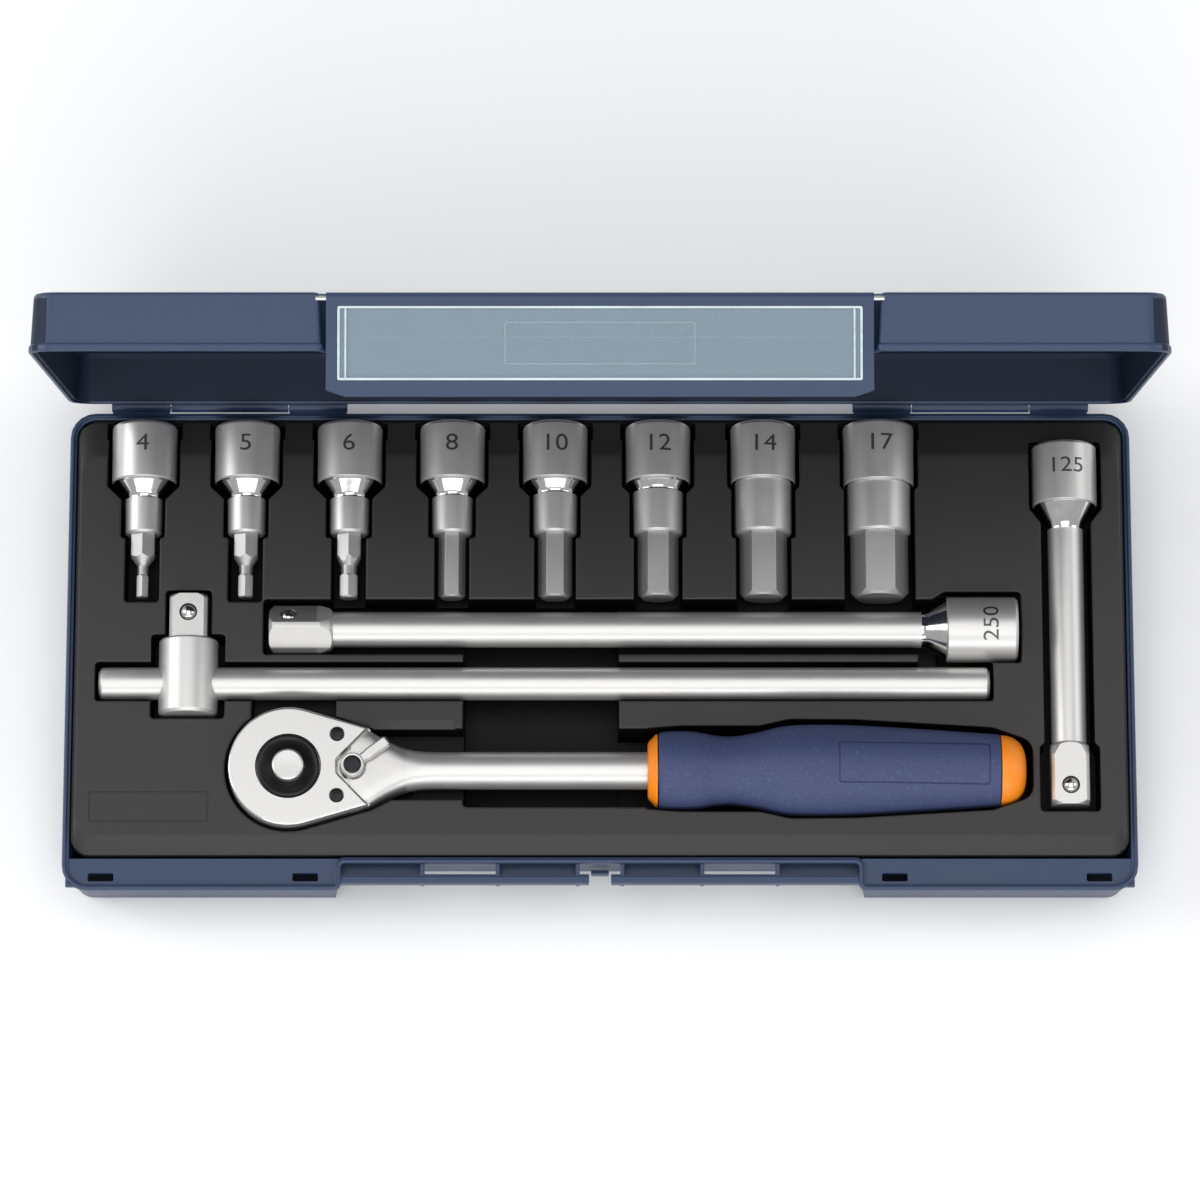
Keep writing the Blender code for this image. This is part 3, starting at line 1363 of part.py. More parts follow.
def pawl():
    """Toothed pawl between the gear and the lever. It rocks as the lever turns."""
    size = PAWL_SIZE
    block = rounded_block(
        "pawl", [-value / 2 for value in size], [value / 2 for value in size], 0.8 * MM, segments=1
    )
    for index in (-1, 0, 1):
        y = index * PAWL_TOOTH_STEP
        tooth = cylinder(
            f"pawl_tooth_gap_{index}", 0.9 * MM, -size[2], size[2],
            centre=(-size[0] / 2 - 0.3 * MM, y), sides=8,
        )
        cut(block, tooth)
    middle = (GEAR_BOTTOM + GEAR_TOP) / 2
    place = (HEAD_PLACE + PAWL_REACH, RATCHET_LINE, middle)
    finish(block, bit_steel(), place, (0, 0, PAWL_ANGLE))


def reversing_lever():
    """Lever with its hub and stem, about the stem's axis; the arm lies on the neck."""
    top = HEAD_TOP + LEVER_THICKNESS
    arm_bottom = HEAD_TOP + SEAT_GAP
    lever = cylinder("reversing_lever", LEVER_HUB_RADIUS, COVER_BOTTOM - 0.3 * MM, top, sides=20)
    arm_outline = arc((LEVER_ARM, 0), LEVER_WIDTH / 2, -90, 90, 6)
    arm_outline += [(0, LEVER_WIDTH / 2), (0, -LEVER_WIDTH / 2)]
    arm = prism("lever_arm", arm_outline, arm_bottom, top - 0.4 * MM)
    stem = cylinder("lever_stem", LEVER_STEM_RADIUS, GEAR_BOTTOM + 1 * MM, COVER_BOTTOM, sides=16)
    add(lever, arm, stem)
    middle = (GEAR_BOTTOM + GEAR_TOP) / 2
    tilt = Matrix.Rotation(-LEVER_ANGLE, 4, "Z")
    plunger_bore = cylinder(
        "plunger_bore", PLUNGER_RADIUS + 0.2 * MM, -LEVER_STEM_RADIUS - 1 * MM,
        LEVER_STEM_RADIUS - PLUNGER_WALL,
        "X", (0, middle), 12,
    )
    plunger_bore.data.transform(tilt)
    cap_bottom = top - LEVER_CAP_DEPTH
    cap_hole = cylinder("lever_cap_hole", LEVER_CAP_RADIUS + PRESS_GAP, cap_bottom, top + 1 * MM, sides=16)
    cut(lever, plunger_bore, cap_hole)
    place = (HEAD_PLACE + LEVER_REACH, RATCHET_LINE, 0)
    turn = (0, 0, LEVER_ANGLE)
    finish(lever, chrome(), place, turn)
    cap = cylinder("lever_cap", LEVER_CAP_RADIUS, cap_bottom + SEAT_GAP, top + 0.1 * MM, sides=16)
    finish(cap, dark_steel(), place, turn)
    tip = -LEVER_STEM_RADIUS
    plunger = cylinder("pawl_plunger", PLUNGER_RADIUS, tip, tip + PLUNGER_LENGTH, "X", (0, middle), 12)
    plunger.data.transform(tilt)
    finish(plunger, bit_steel(), place, turn)
    start = tip + PLUNGER_LENGTH + SEAT_GAP + PLUNGER_WIRE
    length = LEVER_STEM_RADIUS - PLUNGER_WALL - SEAT_GAP - PLUNGER_WIRE - start
    spring = coil("plunger_spring", PLUNGER_SPRING_RADIUS, length, 2, PLUNGER_WIRE)
    spring.data.transform(Matrix.Translation((0, 0, start)))
    spring.data.transform(Matrix.Rotation(math.pi / 2, 4, "Y"))
    spring.data.transform(Matrix.Translation((0, 0, middle)))
    spring.data.transform(tilt)
    finish(spring, spring_steel(), place, turn)


def handle():
    """Collar, rubber grip and end cap on the shaft; each is turned along X."""
    frame = ((0, RATCHET_LINE, AXIS_HEIGHT), (0, math.pi / 2, 0))
    bore = SHAFT_RADIUS + PRESS_GAP
    right = COLLAR_LEFT + COLLAR_LENGTH
    collar = turned(
        "grip_collar",
        [
            (COLLAR_LEFT, bore),
            (COLLAR_LEFT, COLLAR_RADIUS - 2.2 * MM),
            (COLLAR_LEFT + 0.6 * MM, COLLAR_RADIUS - 1.2 * MM),
            (right, COLLAR_RADIUS + 1.2 * MM),
            (right, bore),
        ],
        hollow=True,
    )
    finish(collar, orange_plastic(), *frame)
    stations = [(GRIP_LEFT + along, radius) for along, radius in GRIP_STATIONS]
    stations.append((GRIP_RIGHT, GRIP_STATIONS[-1][1] - 0.2 * MM))
    grip = turned("grip", stations)
    hole = cylinder("grip_bore", bore, GRIP_LEFT - 1 * MM, GRIP_RIGHT + 1 * MM, "Z")
    cut(grip, hole)
    finish(grip, grip_rubber(), *frame)
    radius = GRIP_STATIONS[-1][1] - 0.3 * MM
    left = GRIP_RIGHT + GRIP_GAP
    spigot = SHAFT_RADIUS - PRESS_GAP
    stations = [(GRIP_RIGHT - CAP_SPIGOT, spigot), (left - 0.01 * MM, spigot)]
    for step in range(6):
        angle = math.pi / 2 * step / 6
        stations.append((left + CAP_LENGTH * math.sin(angle), radius * math.cos(angle) ** 0.6))
    stations.append((left + CAP_LENGTH, 0.12 * radius))
    cap = turned("end_cap", stations)
    finish(cap, orange_plastic(), *frame)


# ---------------------------------------------------------------- assembly


def case():
    base_shell()
    tool_tray()
    hinge_pin(-1, "hinge_pin_left")
    hinge_pin(1, "hinge_pin_right")
    lid_place = (0, HINGE_LINE, BASE_HEIGHT)
    lid_empty = joint_empty("lid_joint", lid_place)
    flap_place = (0, FLAP_LINE, FLAP_PIVOT)
    flap_empty = joint_empty("latch_joint", flap_place, lid_empty)
    flap_empty.matrix_parent_inverse = Matrix.Translation([-value for value in lid_place])
    lid_shell(lid_empty, lid_place)
    flap_pin(-1, "flap_pin_left", lid_empty, lid_place)
    flap_pin(1, "flap_pin_right", lid_empty, lid_place)
    latch_flap(flap_empty, flap_place)
    label_window(flap_empty, flap_place)
    label_card(flap_empty, flap_place)
    lid_empty.rotation_euler.x = -LID_OPEN_ANGLE


def tools():
    for socket in SOCKETS:
        socket_pair(socket)
    extensions()
    slide_rod()
    slide_head()
    ratchet_body()
    cover_plate()
    cover_screw(0)
    cover_screw(1)
    drive_gear()
    button_ring()
    release_button()
    pawl()
    reversing_lever()
    handle()


case()
tools()
bpy.context.view_layer.update()
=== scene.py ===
"""The finished surfaces of a half-inch hex-bit socket set in a hinged plastic case.

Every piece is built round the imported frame: places and outer sizes come from the frame's
boxes and joints, and the values below are the small shapes that the frame leaves plain.
"""

import json
import math

import bmesh
import bpy
from bpy.props import FloatProperty, FloatVectorProperty, PointerProperty
from mathutils import Matrix, Vector

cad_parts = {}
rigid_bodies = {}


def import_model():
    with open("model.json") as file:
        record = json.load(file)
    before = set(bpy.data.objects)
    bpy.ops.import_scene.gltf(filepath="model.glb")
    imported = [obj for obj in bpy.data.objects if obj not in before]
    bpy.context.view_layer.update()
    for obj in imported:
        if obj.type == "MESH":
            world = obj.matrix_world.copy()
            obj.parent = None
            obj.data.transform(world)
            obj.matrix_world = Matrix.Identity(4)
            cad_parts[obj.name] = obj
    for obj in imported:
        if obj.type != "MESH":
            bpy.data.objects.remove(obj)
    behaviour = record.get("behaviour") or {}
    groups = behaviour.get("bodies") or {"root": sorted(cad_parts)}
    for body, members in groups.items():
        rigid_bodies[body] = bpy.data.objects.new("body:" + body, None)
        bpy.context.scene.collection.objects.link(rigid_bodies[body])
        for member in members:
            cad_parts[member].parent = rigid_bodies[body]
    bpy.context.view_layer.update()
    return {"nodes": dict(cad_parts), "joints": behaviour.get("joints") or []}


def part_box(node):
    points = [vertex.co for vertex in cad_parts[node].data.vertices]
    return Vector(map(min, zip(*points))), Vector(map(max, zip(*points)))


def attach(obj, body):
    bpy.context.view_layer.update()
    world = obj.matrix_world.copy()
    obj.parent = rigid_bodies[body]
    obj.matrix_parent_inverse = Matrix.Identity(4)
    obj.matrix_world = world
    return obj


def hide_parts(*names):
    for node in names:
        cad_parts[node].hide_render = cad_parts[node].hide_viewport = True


bl_info = {
    "name": "Socket Wrench Set",
    "version": (1, 0, 0),
    "blender": (4, 5, 0),
    "location": "View3D > Sidebar > Socket Set",
    "description": "Builds a hex-bit socket set in its open case",
    "category": "Object",
}

for leftover in list(bpy.data.objects):
    bpy.data.objects.remove(leftover, do_unlink=True)

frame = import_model()

MM = 0.001
UP = Vector((0, 0, 1))
QUARTER_X = Matrix.Rotation(math.pi / 2, 4, "X")
QUARTER_Y = Matrix.Rotation(math.pi / 2, 4, "Y")
JOINTS = {joint["name"]: joint for joint in frame["joints"]}
SHARP = math.radians(32)

SHELL_LOW, SHELL_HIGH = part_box("bottom_shell")
HALF_LENGTH = SHELL_HIGH.x
FRONT = SHELL_LOW.y
BACK = -FRONT
RIM = 30.0 * MM
AXIS_HEIGHT = 30.0 * MM
HINGE = Vector(JOINTS["lid_hinge"]["pos_m"])
LID_OPEN = math.radians(JOINTS["lid_hinge"]["range_deg"][0])
LID_TURN = Matrix.Translation(HINGE) @ Matrix.Rotation(LID_OPEN, 4, "X") @ Matrix.Translation(-HINGE)
LID_BOTTOM = 30.3 * MM
LID_TOP = 49.3 * MM
SIZES = (4, 5, 6, 8, 10, 12, 14, 17)
RECESS_HALF = 86.6 * MM
LID_RECESS = 4.4 * MM
DRIVE_SQUARE = 12.7 * MM


def srgb(red, green, blue):
    """A colour given as 0 to 255 screen values, as linear light."""
    return tuple(
        (value / 255 / 12.92) if value <= 10 else ((value / 255 + 0.055) / 1.055) ** 2.4
        for value in (red, green, blue)
    )


def mm(*rows):
    """Rows of millimetres as rows of metres."""
    return [tuple(value * MM for value in row) for row in rows]


# ------------------------------------------------------------------ settings


def colour(name, description, default):
    return FloatVectorProperty(
        name=name, description=description, default=default, subtype="COLOR", size=3, min=0.0, max=1.0
    )


def length(name, description, default):
    return FloatProperty(name=name, description=description, default=default, unit="LENGTH", min=0.0)


class CaseSettings(bpy.types.PropertyGroup):
    """Sizes and colours of the case shells and the latch flap."""

    shell: colour("Shell", "Navy of the moulded shells", srgb(40, 58, 88))
    card: colour("Label", "Plain label behind the window", srgb(80, 105, 123))
    wall: length("Wall", "Thickness of the shells' walls", 2.2 * MM)
    corner: length("Corner", "Radius of the case's upright corners", 8.5 * MM)
    bead: length("Bead", "Height of the bead round each rim", 2.2 * MM)


class TraySettings(bpy.types.PropertyGroup):
    """Sizes and colour of the moulded tool tray."""

    plastic: colour("Tray", "Black of the tray", srgb(46, 44, 43))
    edge: length("Edge", "Radius of the pockets' upper edges", 0.7 * MM)
    clearance: length("Clearance", "Gap between a tool and its pocket", 1.2 * MM)


class ToolSettings(bpy.types.PropertyGroup):
    """Colours of the steel tools."""

    chrome: colour("Chrome", "Satin chrome plate", srgb(214, 212, 209))
    bit: colour("Bits", "Grey steel of the hexagon bits", srgb(182, 181, 180))
    black: colour("Black oxide", "Screws and button ring", srgb(38, 38, 40))


class GripSettings(bpy.types.PropertyGroup):
    """Colours of the ratchet's handle."""

    rubber: colour("Grip", "Navy of the soft grip", srgb(56, 66, 104))
    orange: colour("Ends", "Orange of the collar and the end cap", srgb(255, 138, 24))
    fleck: FloatProperty(name="Flecks", description="Strength of the pale flecks", default=0.5, min=0, max=1)


class StageSettings(bpy.types.PropertyGroup):
    """The floor, the camera and the lights."""

    floor: colour("Floor", "Pale floor", (0.93, 0.93, 0.93))
    lens: FloatProperty(name="Lens", description="Focal length in millimetres", default=186.5, min=20)
    distance: length("Distance", "From the camera to the case", 2.10)
    elevation: FloatProperty(
        name="Elevation", description="Angle of the view above the floor",
        default=math.radians(76), subtype="ANGLE",
    )


def settings(name):
    return getattr(bpy.context.scene, f"socket_set_{name}")


# ------------------------------------------------------------------ outlines and solids


def rounded(corners, steps=5, closed=True):
    """Points of a line through (x, y, radius) corners, each rounded by an arc of its radius."""
    points = []
    count = len(corners)
    for index, (x, y, radius) in enumerate(corners):
        here = Vector((x, y))
        end = not closed and index in (0, count - 1)
        if end or radius <= 0:
            points.append(here)
            continue
        before = (Vector(corners[index - 1][:2]) - here).normalized()
        after = (Vector(corners[(index + 1) % count][:2]) - here).normalized()
        half = before.angle(after) / 2
        if half > math.radians(89):
            points.append(here)
            continue
        centre = here + (before + after).normalized() * (radius / math.sin(half))
        start = here + before * (radius / math.tan(half)) - centre
        turn = math.pi - 2 * half
        if before.x * after.y - before.y * after.x > 0:
            turn = -turn
        for step in range(steps + 1):
            points.append(centre + Matrix.Rotation(turn * step / steps, 2) @ start)
    return points


def crossing(first, first_way, second, second_way):
    """Where two lines in a plane meet, each given as a point and a direction."""
    turn = first_way.x * second_way.y - first_way.y * second_way.x
    if abs(turn) < 1e-9:
        return (first + second) / 2
    gap = second - first
    return first + first_way * ((gap.x * second_way.y - gap.y * second_way.x) / turn)


def inset(points, amount):
    """A closed anticlockwise outline moved inwards; a negative amount moves it outwards."""
    count = len(points)
    moved = []
    for index, point in enumerate(points):
        back = (point - points[index - 1]).normalized()
        ahead = (points[(index + 1) % len(points)] - point).normalized()
        first = Vector((-back.y, back.x))
        normal = (first + Vector((-ahead.y, ahead.x))).normalized()
        moved.append(point + normal * (amount / max(normal.dot(first), 0.35)))
    ways = [points[(index + 1) % count] - points[index] for index in range(count)]
    turned = [(moved[(i + 1) % count] - moved[i]).dot(ways[i]) < 0 for i in range(count)]
    for start in range(count):
        if not turned[start] or turned[start - 1]:
            continue
        length_of_run = 1
        while turned[(start + length_of_run) % count] and length_of_run < count:
            length_of_run += 1
        end = (start + length_of_run) % count
        meeting = crossing(moved[start], ways[start - 1].normalized(), moved[end], ways[end].normalized())
        for step in range(length_of_run + 1):
            moved[(start + step) % count] = meeting
    return moved


def rectangle(left, right, front, back, radius, steps=6):
    corners = [(left, front, radius), (right, front, radius), (right, back, radius), (left, back, radius)]
    return rounded(corners, steps)


def piece_from(bm, name, tidy=True):
    """An object from a bmesh, with its doubles merged and its faces turned outwards."""
    if tidy:
        bmesh.ops.remove_doubles(bm, verts=bm.verts, dist=1e-7)
        bmesh.ops.recalc_face_normals(bm, faces=bm.faces)
        if bm.calc_volume(signed=True) < 0:
            bmesh.ops.reverse_faces(bm, faces=bm.faces)
    mesh = bpy.data.meshes.new(name)
    bm.to_mesh(mesh)
    bm.free()
    made = bpy.data.objects.new(name, mesh)
    bpy.context.scene.collection.objects.link(made)
    return made


def skin(name, rings):
    """A closed shape through rings of points, each ring extruded from the one before."""
    bm = bmesh.new()
    ring = [bm.verts.new(point) for point in rings[0]]
    bm.faces.new(ring)
    for points in rings[1:]:
        edges = [bm.edges.get((a, b)) for a, b in zip(ring, ring[1:] + ring[:1])]
        extruded = bmesh.ops.extrude_edge_only(bm, edges=edges)["geom"]
        made = {item for item in extruded if isinstance(item, bmesh.types.BMVert)}
        ring = [next(e.other_vert(v) for e in v.link_edges if e.other_vert(v) in made) for v in ring]
        for vert, point in zip(ring, points):
            vert.co = point
    bm.faces.new(ring)
    return piece_from(bm, name)


def stack(name, outline, levels):
    """A closed shape with the outline at each (inset, height) level."""
    return skin(name, [[(*p, height) for p in inset(outline, amount)] for amount, height in levels])


def prism(name, outline, bottom, top, edge=0.0, steps=3):
    """An outline made solid, with its top and bottom edges rounded."""
    if edge <= 0:
        return stack(name, outline, [(0, bottom), (0, top)])
    quarter = [math.pi / 2 * step / steps for step in range(steps + 1)]
    low = [(edge * (1 - math.sin(a)), bottom + edge * (1 - math.cos(a))) for a in quarter]
    high = [(inset_by, bottom + top - height) for inset_by, height in reversed(low)]
    return stack(name, outline, low + high)


def block(name, low, high, edge=0.0, segments=2):
    bm = bmesh.new()
    bmesh.ops.create_cube(bm, size=1.0)
    size = Vector(high) - Vector(low)
    bmesh.ops.scale(bm, vec=size, verts=bm.verts)
    bmesh.ops.translate(bm, vec=(Vector(high) + Vector(low)) / 2, verts=bm.verts)
    if edge > 0:
        bmesh.ops.bevel(
            bm, geom=bm.edges, offset=edge, affect="EDGES", segments=segments, profile=0.5, material=-1
        )
    return piece_from(bm, name)


def lathe(name, stations, place=Matrix.Identity(4), steps=64, arc_steps=4):
    """Stations of (along, radius) or (along, radius, rounding) turned about the place's Z axis."""
    corners = [(*s, 0.0)[:3] for s in stations]
    profile = rounded(corners, arc_steps, closed=False)
    if stations[0][1] > 0 and stations[0] != stations[-1]:
        profile = [Vector((profile[0].x, 0.0))] + profile + [Vector((profile[-1].x, 0.0))]
    bm = bmesh.new()
    verts = [bm.verts.new((point.y, 0, point.x)) for point in profile]
    edges = [bm.edges.new(pair) for pair in zip(verts, verts[1:])]
    bmesh.ops.spin(
        bm, geom=verts + edges, cent=(0, 0, 0), axis=UP, angle=math.tau, steps=steps, use_merge=True
    )
    made = piece_from(bm, name)
    made.data.transform(place)
    return made


def bead(name, centre, radius):
    """A small steel ball."""
    bm = bmesh.new()
    bmesh.ops.create_uvsphere(bm, u_segments=32, v_segments=16, radius=radius)
    bmesh.ops.translate(bm, vec=centre, verts=bm.verts)
    return piece_from(bm, name)


def moved(piece, matrix):
    piece.data.transform(matrix)
    return piece


def carve(piece, *tools, operation="DIFFERENCE"):
    """Cuts the tools from a piece, or joins them to it, and removes the tools."""
    for tool in tools:
        modifier = piece.modifiers.new("carve", "BOOLEAN")
        modifier.operation = operation
        modifier.solver = "MANIFOLD"
        modifier.object = tool
    graph = bpy.context.evaluated_depsgraph_get()
    mesh = bpy.data.meshes.new_from_object(piece.evaluated_get(graph))
    piece.modifiers.clear()
    piece.data = mesh
    for tool in tools:
        bpy.data.objects.remove(tool, do_unlink=True)
    return piece


def unite(piece, *others):
    return carve(piece, *others, operation="UNION")


def gather(name, *pieces):
    """Several closed shapes as one piece."""
    bm = bmesh.new()
    for piece in pieces:
        bm.from_mesh(piece.data)
        bpy.data.objects.remove(piece, do_unlink=True)
    return piece_from(bm, name, tidy=False)


def finish(piece, body, nodes, slot, *finishes):
    """Shades a piece, gives it its named finishes and hands it to the frame."""
    piece.data.materials.clear()
    for name in finishes:
        piece.data.materials.append(Finishes.get(name))
    piece.data.shade_smooth()
    piece.data.set_sharp_from_angle(angle=SHARP)
    weighted = piece.modifiers.new("weighted_normals", "WEIGHTED_NORMAL")
    weighted.keep_sharp = True
    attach(piece, body)
    if nodes:
        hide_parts(*nodes)
    return piece


def paint_faces(piece, index, test):
    """Gives a material index to the faces whose centre passes a test."""
    for face in piece.data.polygons:
        if test(face.center):
            face.material_index = index


FIGURE_DEPTH = 0.04 * MM
FIGURE_PROUD = 0.01 * MM
FIGURE_STRETCH = 1.15
FIGURE_STEP = 0.4 * MM
FIGURES_FROM_END = 9 * MM


def lettering(name, text, size):
    """Plain figures made a mesh, centred on the origin, lying flat and cut into strips that can bend."""
    curve = bpy.data.curves.new(name, "FONT")
    curve.body = text
    curve.size = size
    curve.extrude = FIGURE_DEPTH
    curve.align_x = "CENTER"
    curve.align_y = "CENTER"
    curve.resolution_u = 6
    text_object = bpy.data.objects.new(name, curve)
    bpy.context.scene.collection.objects.link(text_object)
    graph = bpy.context.evaluated_depsgraph_get()
    mesh = bpy.data.meshes.new_from_object(text_object.evaluated_get(graph))
    bpy.data.objects.remove(text_object, do_unlink=True)
    bm = bmesh.new()
    bm.from_mesh(mesh)
    bmesh.ops.scale(bm, vec=(FIGURE_STRETCH, 1, 1), verts=bm.verts)
    for step in range(-20, 21):
        geometry = bm.verts[:] + bm.edges[:] + bm.faces[:]
        bmesh.ops.bisect_plane(bm, geom=geometry, plane_co=(step * FIGURE_STEP, 0, 0), plane_no=(1, 0, 0))
    return piece_from(bm, name)


def wrapped(piece, radius, axis_place):
    """Bends flat lettering onto the upper side of a bar along Y, its base sunk in the steel."""
    for vertex in piece.data.vertices:
        angle = vertex.co.x / radius
        reach = radius + vertex.co.z + FIGURE_PROUD
        vertex.co = Vector((reach * math.sin(angle), vertex.co.y, reach * math.cos(angle))) + axis_place
    return piece


# ------------------------------------------------------------------ shader maths


class Signal:
    """A number in a material's nodes, which can be used in a Python expression."""

    def __init__(self, paint, socket):
        self.paint = paint
        self.socket = socket

    def maths(self, operation, first, second):
        return self.paint.node("ShaderNodeMath", {"operation": operation}, {0: first, 1: second})

    def __add__(self, other):
        return self.maths("ADD", self, other)

    def __mul__(self, other):
        return self.maths("MULTIPLY", self, other)

    __radd__ = __add__
    __rmul__ = __mul__


class Paint:
    """A material under construction."""

    def __init__(self, name, base, roughness, metallic=0.0):
        self.material = bpy.data.materials.new(name)
        self.material.use_nodes = True
        self.tree = self.material.node_tree
        self.shader = self.tree.nodes["Principled BSDF"]
        self.base = (*base, 1.0)
        self.set("Base Color", self.base)
        self.set("Roughness", roughness)
        self.set("Metallic", metallic)

    def node(self, kind, setup=None, values=None, output=0):
        made = self.tree.nodes.new(kind)
        for key, value in (setup or {}).items():
            setattr(made, key, value)
        for key, value in (values or {}).items():
            if isinstance(value, Signal):
                self.tree.links.new(value.socket, made.inputs[key])
            else:
                made.inputs[key].default_value = value
        return Signal(self, made.outputs[output])

    def set(self, name, value):
        if isinstance(value, Signal):
            self.tree.links.new(value.socket, self.shader.inputs[name])
        else:
            self.shader.inputs[name].default_value = value

    def place(self, stretch=(1, 1, 1)):
        here = self.node("ShaderNodeTexCoord", output="Object")
        return self.node("ShaderNodeMapping", {}, {"Vector": here, "Scale": stretch})

    def noise(self, scale, detail=2.0, roughness=0.5, stretch=(1, 1, 1)):
        values = {"Vector": self.place(stretch), "Scale": scale, "Detail": detail, "Roughness": roughness}
        return self.node("ShaderNodeTexNoise", {}, values)

    def flecks(self, scale, low, high):
        """Small scattered spots, as a mask from 0 to 1."""
        values = {"Value": self.noise(scale, 1.0), "From Min": low, "From Max": high}
        return self.node("ShaderNodeMapRange", {"clamp": True}, values)

    def mix(self, share, first, second):
        values = {0: share, 6: first, 7: second}
        return self.node("ShaderNodeMix", {"data_type": "RGBA"}, values, 2)

    def shade(self, share, darker, lighter):
        """The base colour varied between two brightnesses."""
        dark = (*[channel * darker for channel in self.base[:3]], 1.0)
        light = (*[min(channel * lighter, 1.0) for channel in self.base[:3]], 1.0)
        return self.mix(share, dark, light)

    def bump(self, height, distance):
        values = {"Height": height, "Distance": distance, "Strength": 1.0}
        self.set("Normal", self.node("ShaderNodeBump", {}, values))


GLOSS_RANGE = 0.12


def moulded(name, base, roughness, grain, depth):
    """Fine-grained moulded plastic: grain in relief and slightly uneven gloss."""
    paint = Paint(name, base, roughness)
    fine = paint.noise(grain, 3.0, 0.6)
    broad = paint.noise(28.0, 3.0)
    paint.set("Base Color", paint.shade(broad * 0.6 + fine * 0.4, 0.86, 1.16))
    paint.set("Roughness", broad * GLOSS_RANGE + fine * GLOSS_RANGE + (roughness - GLOSS_RANGE))
    paint.bump(fine, depth)
    return paint


STEEL_LINES = {"X": (1, 0.04, 0.04), "Y": (0.04, 1, 0.04), "Z": (0.04, 0.04, 1)}


def satin_steel(name, base, axis, roughness=0.4, lines=2600.0, depth=0.0000012):
    """Plated steel turned or brushed round an axis: fine lines that run round it."""
    paint = Paint(name, base, roughness, 0.75)
    stretch = STEEL_LINES[axis]
    fine = paint.noise(lines, 2.0, 0.6, stretch)
    grit = paint.noise(1900.0, 2.0)
    cloudy = paint.noise(90.0, 4.0, 0.6)
    paint.set("Base Color", paint.shade(fine * 0.4 + cloudy * 0.6, 0.9, 1.06))
    paint.set("Roughness", fine * 0.1 + cloudy * 0.12 + (roughness - 0.11))
    paint.bump(fine * 0.6 + grit * 0.4, depth)
    return paint


